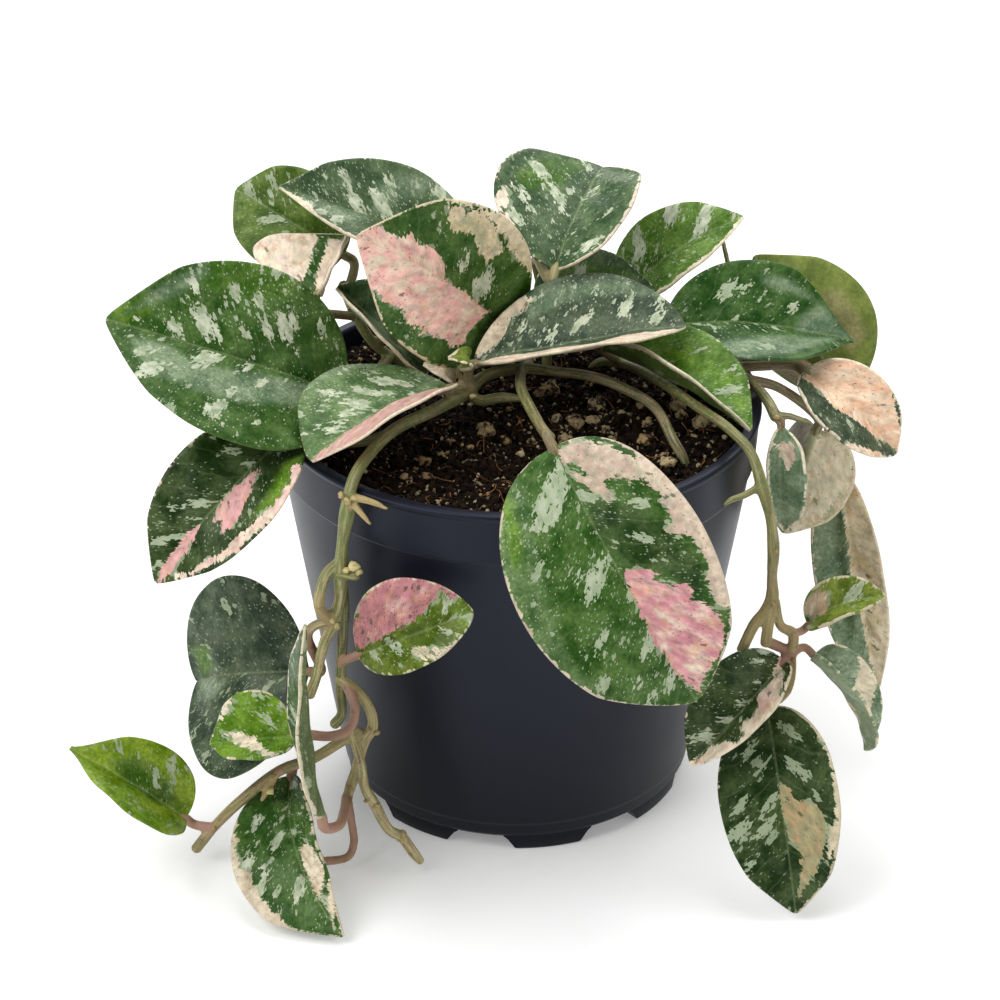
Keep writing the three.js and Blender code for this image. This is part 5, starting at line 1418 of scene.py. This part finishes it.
# bark and perlite lumps: x, y, size in mm, where the photograph shows them
soilChips = [
    (-8, -13.1, 2.9), (14.9, -7.1, 2.5), (19.6, -5.4, 2.2), (8.7, 9.2, 2.9), (6.4, 8, 2.1), (20.6, 1.3, 2.6),
    (-2.6, -15.2, 1.6), (-1.8, -0.4, 1.1), (3.8, -16.8, 1.3), (-23.2, -30.1, 1.8), (-22.6, -35.3, 1.3),
    (22.5, -12.5, 1.6), (23.9, -16.8, 1.6), (12.2, -16.8, 2), (10.3, -4.9, 1.8), (42.1, 3.5, 2.6),
    (42.8, -2.1, 1.8), (47.1, -8.2, 2.6), (48.8, -6, 1.8), (51.4, -10.3, 1.3), (33.8, -7.6, 1.8),
    (32.3, -17.4, 2.1), (35.5, -25.9, 1.3), (37.8, -30.1, 2.1), (40.7, -13.1, 1.1), (45.2, -15.8, 1.1),
    (53.1, -14.7, 1.1), (37.2, -22.7, 1.1), (-16.6, -18.5, 1.2), (-19.6, -24.8, 1.1), (25.5, -23.8, 1.2),
    (28.3, -30.1, 1.2), (21.2, -30.1, 1.3), (18, -18.5, 1.2), (32, 0.7, 1.3), (27.2, -3.2, 1.2),
    (-12, -21.7, 1.1), (0.7, -23.8, 1.1), (-28.1, -38.4, 1.2),
]


def soilHeight(x, y):
    return float(soilLook["top"] + 0.7 * np.sin(x * 0.21 + 1.3) * np.cos(y * 0.17)
                 + 0.5 * np.sin(x * 0.43 - y * 0.37) + 0.4 * np.cos(y * 0.58 + x * 0.11))


def makeSoil(material):
    rings, segments = soilLook["rings"], soilLook["segments"]
    verts = [(0, 0, soilHeight(0, 0))]
    for i in range(1, rings + 1):
        for k in range(segments):
            turn = 2 * math.pi * (k + 0.5 * (i % 2)) / segments
            x, y = onCircle(soilLook["radius"] * (i / rings) ** 0.8, turn)
            clump = sum(noise.noise(Vector((x, y, 3)) * scale) * depth for scale, depth in soilLook["clumps"])
            verts.append((x, y, soilHeight(x, y) + clump - 0.2))
    for z, r in soilLook["sides"]:
        verts += [(*onCircle(r, 2 * math.pi * k / segments), z) for k in range(segments)]
    verts.append((0, 0, soilLook["sides"][-1][0]))
    last = 1 + (rings + 1) * segments
    faces = [(0, 1 + k, 1 + (k + 1) % segments) for k in range(segments)]
    faces += [(a, d, c, b) for a, b, c, d in bandFaces(rings + 1, segments, 1)]
    faces += [(last + k, len(verts) - 1, last + (k + 1) % segments) for k in range(segments)]
    return newPiece("potting_mix", toFrame(verts), faces, material)


def makeCrumbTree():
    # scatters crumbs over the faces that look up
    w, given, out = nodeGroup("soilCrumbs", {
        "Geometry": ("Geometry", None),
        "Density": ("Float", 1.0e5),
        "Smallest": ("Float", 0.0004),
        "Largest": ("Float", 0.0012),
        "Crumb size": ("Float", 1.0),
        "Seed": ("Int", 3),
        "Paint": ("Material", None),
    }, {"Geometry": "Geometry"}, "GeometryNodeTree")

    def drawn(kind, low, high):
        # a random value between two of this kind
        node = w.node("FunctionNodeRandomValue", {}, data_type=kind)
        for socket, value in zip([s for s in node.inputs if s.enabled], (low, high)):
            w.put(socket, value)
        return [s for s in node.outputs if s.enabled][0]

    up = w.split(w.node("GeometryNodeInputNormal", {}).outputs[0])["Z"]
    scatter = w.node("GeometryNodeDistributePointsOnFaces", {
        "Mesh": given["Geometry"],
        "Selection": w.node("FunctionNodeCompare", {0: up, 1: 0.4}).outputs[0],
        "Density": given["Density"],
        "Seed": given["Seed"],
    })
    stone = w.node("GeometryNodeMeshIcoSphere", {"Subdivisions": 1, "Radius": given["Crumb size"]})
    uneven = w.node("GeometryNodeSetPosition", {
        "Geometry": stone.outputs["Mesh"],
        "Offset": drawn("FLOAT_VECTOR", (-0.28,) * 3, (0.28,) * 3),
    })
    spread = w.node("GeometryNodeInstanceOnPoints", {
        "Points": scatter.outputs["Points"],
        "Instance": uneven.outputs["Geometry"],
        "Rotation": drawn("FLOAT_VECTOR", (0.0,) * 3, (6.28,) * 3),
        "Scale": w.vector("MULTIPLY", drawn("FLOAT", given["Smallest"], given["Largest"]), (1.0, 0.8, 0.7)),
    })
    tint = w.node("GeometryNodeStoreNamedAttribute", {
        "Geometry": spread.outputs["Instances"],
        "Name": "crumbTint",
        "Value": drawn("FLOAT", 0.0, 1.0),
    }, domain="INSTANCE", data_type="FLOAT")
    real = w.node("GeometryNodeRealizeInstances", {"Geometry": tint.outputs["Geometry"]})
    paint = w.node("GeometryNodeSetMaterial", {"Geometry": real.outputs["Geometry"], "Material": given["Paint"]})
    w.put(out["Geometry"], paint.outputs["Geometry"])
    return w.tree


def makeSoilMaterial():
    material, w, surface = newMaterial("pottingMix", Roughness=0.95, Specular_IOR_Level=0.1)
    obj = w.place()
    # the near black dark carries painted shade of the gaps between crumbs
    base = w.mix(w.ramp(w.noise(obj, 260.0, 4.0, 0.65), 0.35, 0.7), soilLook["dark"], soilLook["brown"])
    speck = w.ramp(w.voronoi(obj, 700.0)[0], 0.12, 0.2, 1.0, 0.0)
    pick = w.ramp(w.noise(obj, 500.0, 1.0), 0.6, 0.66)
    w.put(surface["Base Color"], w.mix(w.times(speck, pick), base, soilLook["chip"]))
    w.put(surface["Normal"], w.bump(w.noise(obj, 900.0, 4.0, 0.7), 0.0006))
    return material


def makeCrumbMaterial(name, low, high, spread):
    return makeGrain(name, "crumbTint", (soilLook[low], soilLook[high], soilLook["dark"]), (700.0, 3.0, 0.6),
                     (0.35, 0.7, 0.0, 0.7), spread=spread, Roughness=0.9, Specular_IOR_Level=0.12)


def scatterCrumbs(name, ground, tree, values):
    obj = placed(name, ground.data.copy())
    modifier = obj.modifiers.new("crumbs", "NODES")
    modifier.node_group = tree
    for item in tree.interface.items_tree:
        if item.item_type == "SOCKET" and item.in_out == "INPUT" and item.name in values:
            modifier[item.identifier] = values[item.name]
    return baked(obj)


def makeChips():
    # the larger lumps, half sunk
    lumps = [(x, y, soilHeight(x, y) + size * 0.35, size * 1.02, rng.uniform(0, 1)) for x, y, size in soilChips]
    material = makeGrain("barkAndPerlite", "crumbTint", (soilLook["chip"], soilLook["chipPale"], soilLook["brown"]),
                         (520.0, 4.0, 0.7), (0.47, 0.6), 0.001, Roughness=0.85, Specular_IOR_Level=0.2)
    return lumpPiece("bark_and_perlite", lumps, material, "crumbTint")


def makeFibres(material):
    # curled threads of coir lying on the soil
    tubes, tint = [], []
    startReach, reach = soilLook["fibreReach"]
    for i in range(soilLook["fibres"]):
        x, y = onCircle(startReach * math.sqrt(rng.uniform(0, 1)), rng.uniform(0, 2 * math.pi))
        heading, bend, step = rng.uniform(0, 2 * math.pi), rng.uniform(-0.9, 0.9), rng.uniform(0.8, 2.2)
        route = []
        for k in range(4):
            if math.hypot(x, y) < reach:
                route.append((x, y, soilHeight(x, y) + rng.uniform(0.2, 1.4), soilLook["fibreRadius"]))
            x, y, heading = x + step * math.cos(heading), y + step * math.sin(heading), heading + bend
        if len(route) > 2:
            tubes.append(tubeAlong(*curveThrough(route, 3), 4))
            tint += [rng.uniform(0, 1)] * len(tubes[-1][0])
    verts, faces = joined(tubes)
    obj = newPiece("coir_fibres", toFrame(verts), faces, material)
    store(obj.data, "crumbTint", "FLOAT", tint)
    return obj


# most crumbs are near black, their own dark with painted shade in it, and thin flakes of bark and perlite catch the
# light between them
soil = makeSoil(makeSoilMaterial())
tree = makeCrumbTree()
darkCrumb = makeCrumbMaterial("soilCrumb", "dark", "brown", (0.3, 1.0))
paleFlake = makeCrumbMaterial("barkFlake", "brown", "chipPale", (0.2, 1.0))
crumbs = scatterCrumbs("soil_crumbs", soil, tree, {**soilLook["crumbs"], "Paint": darkCrumb})
flakes = scatterCrumbs("bark_flakes", soil, tree, {**soilLook["flakes"], "Paint": paleFlake})
chips = makeChips()
fibres = makeFibres(makeCrumbMaterial("coirFibre", "brown", "coir", (0.1, 0.9)))
for piece in (soil, crumbs, flakes, chips, fibres):
    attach(piece, "root")
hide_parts("soil")
print("soil crumbs faces", len(crumbs.data.polygons), len(flakes.data.polygons))

studio = {
    "target": (-4.4, 0, 80),    # mm, that the camera looks at
    "elevation": 29.5,          # degrees that it looks down
    "distance": 800,
    "lens": 108.86,
    "world": 0.3,
    "floor": (linear("#f4f4f4"), linear("#f0f0f0")),
    "floorHalf": 6,             # m
    "floorGlow": 0.22,
    # name, place and target in mm, size in m, power
    "lights": [
        ("keySoftbox", (-650, -450, 900), (0, 0, 80), 0.7, 8.0),
        ("fillSoftbox", (800, -350, 500), (0, 0, 80), 0.6, 2.0),
        ("backSoftbox", (100, 900, 800), (0, 0, 90), 0.9, 6.5),
        ("topSoftbox", (100, 100, 1100), (0, 0, 80), 0.6, 4.5),
    ],
}


def aimed(obj, place, target):
    obj.location = Vector(toFrame(place))
    obj.rotation_euler = (Vector(toFrame(target)) - obj.location).to_track_quat("-Z", "Y").to_euler()


def makeCamera():
    camera = placed("camera", bpy.data.cameras.new("camera"))
    camera.data.lens = studio["lens"]
    camera.data.sensor_width = 36
    camera.data.sensor_fit = "HORIZONTAL"
    camera.data.clip_start = 0.05
    camera.data.clip_end = 50
    rise, (x, y, z) = math.radians(studio["elevation"]), studio["target"]
    place = (x, y - studio["distance"] * math.cos(rise), z + studio["distance"] * math.sin(rise))
    aimed(camera, place, studio["target"])
    bpy.context.scene.camera = camera


def makeStudio():
    for name, place, target, size, power in studio["lights"]:
        light = bpy.data.lights.new(name, "AREA")
        light.shape = "SQUARE"
        light.size = size
        light.energy = power
        aimed(placed(name, light), place, target)
    world = bpy.data.worlds.new("studio")
    world.use_nodes = True
    background = world.node_tree.nodes["Background"].inputs
    background["Color"].default_value = (1, 1, 1, 1)
    background["Strength"].default_value = studio["world"]
    bpy.context.scene.world = world
    # the floor glows a little, so that shadows stay soft on it
    material, w, surface = newMaterial("paleFloor", Roughness=0.7, Emission_Color=(1, 1, 1, 1),
                                       Emission_Strength=studio["floorGlow"])
    w.put(surface["Base Color"], w.mix(w.noise(w.place(), 3.0, 2.0), *studio["floor"]))
    half = studio["floorHalf"]
    corners = [(-half, -half, 0), (half, -half, 0), (half, half, 0), (-half, half, 0)]
    floor = newPiece("floor", corners, [(0, 1, 2, 3)], material, inside=False)


makeCamera()
makeStudio()
bpy.context.scene.view_settings.view_transform = "Standard"
print("studio ready")
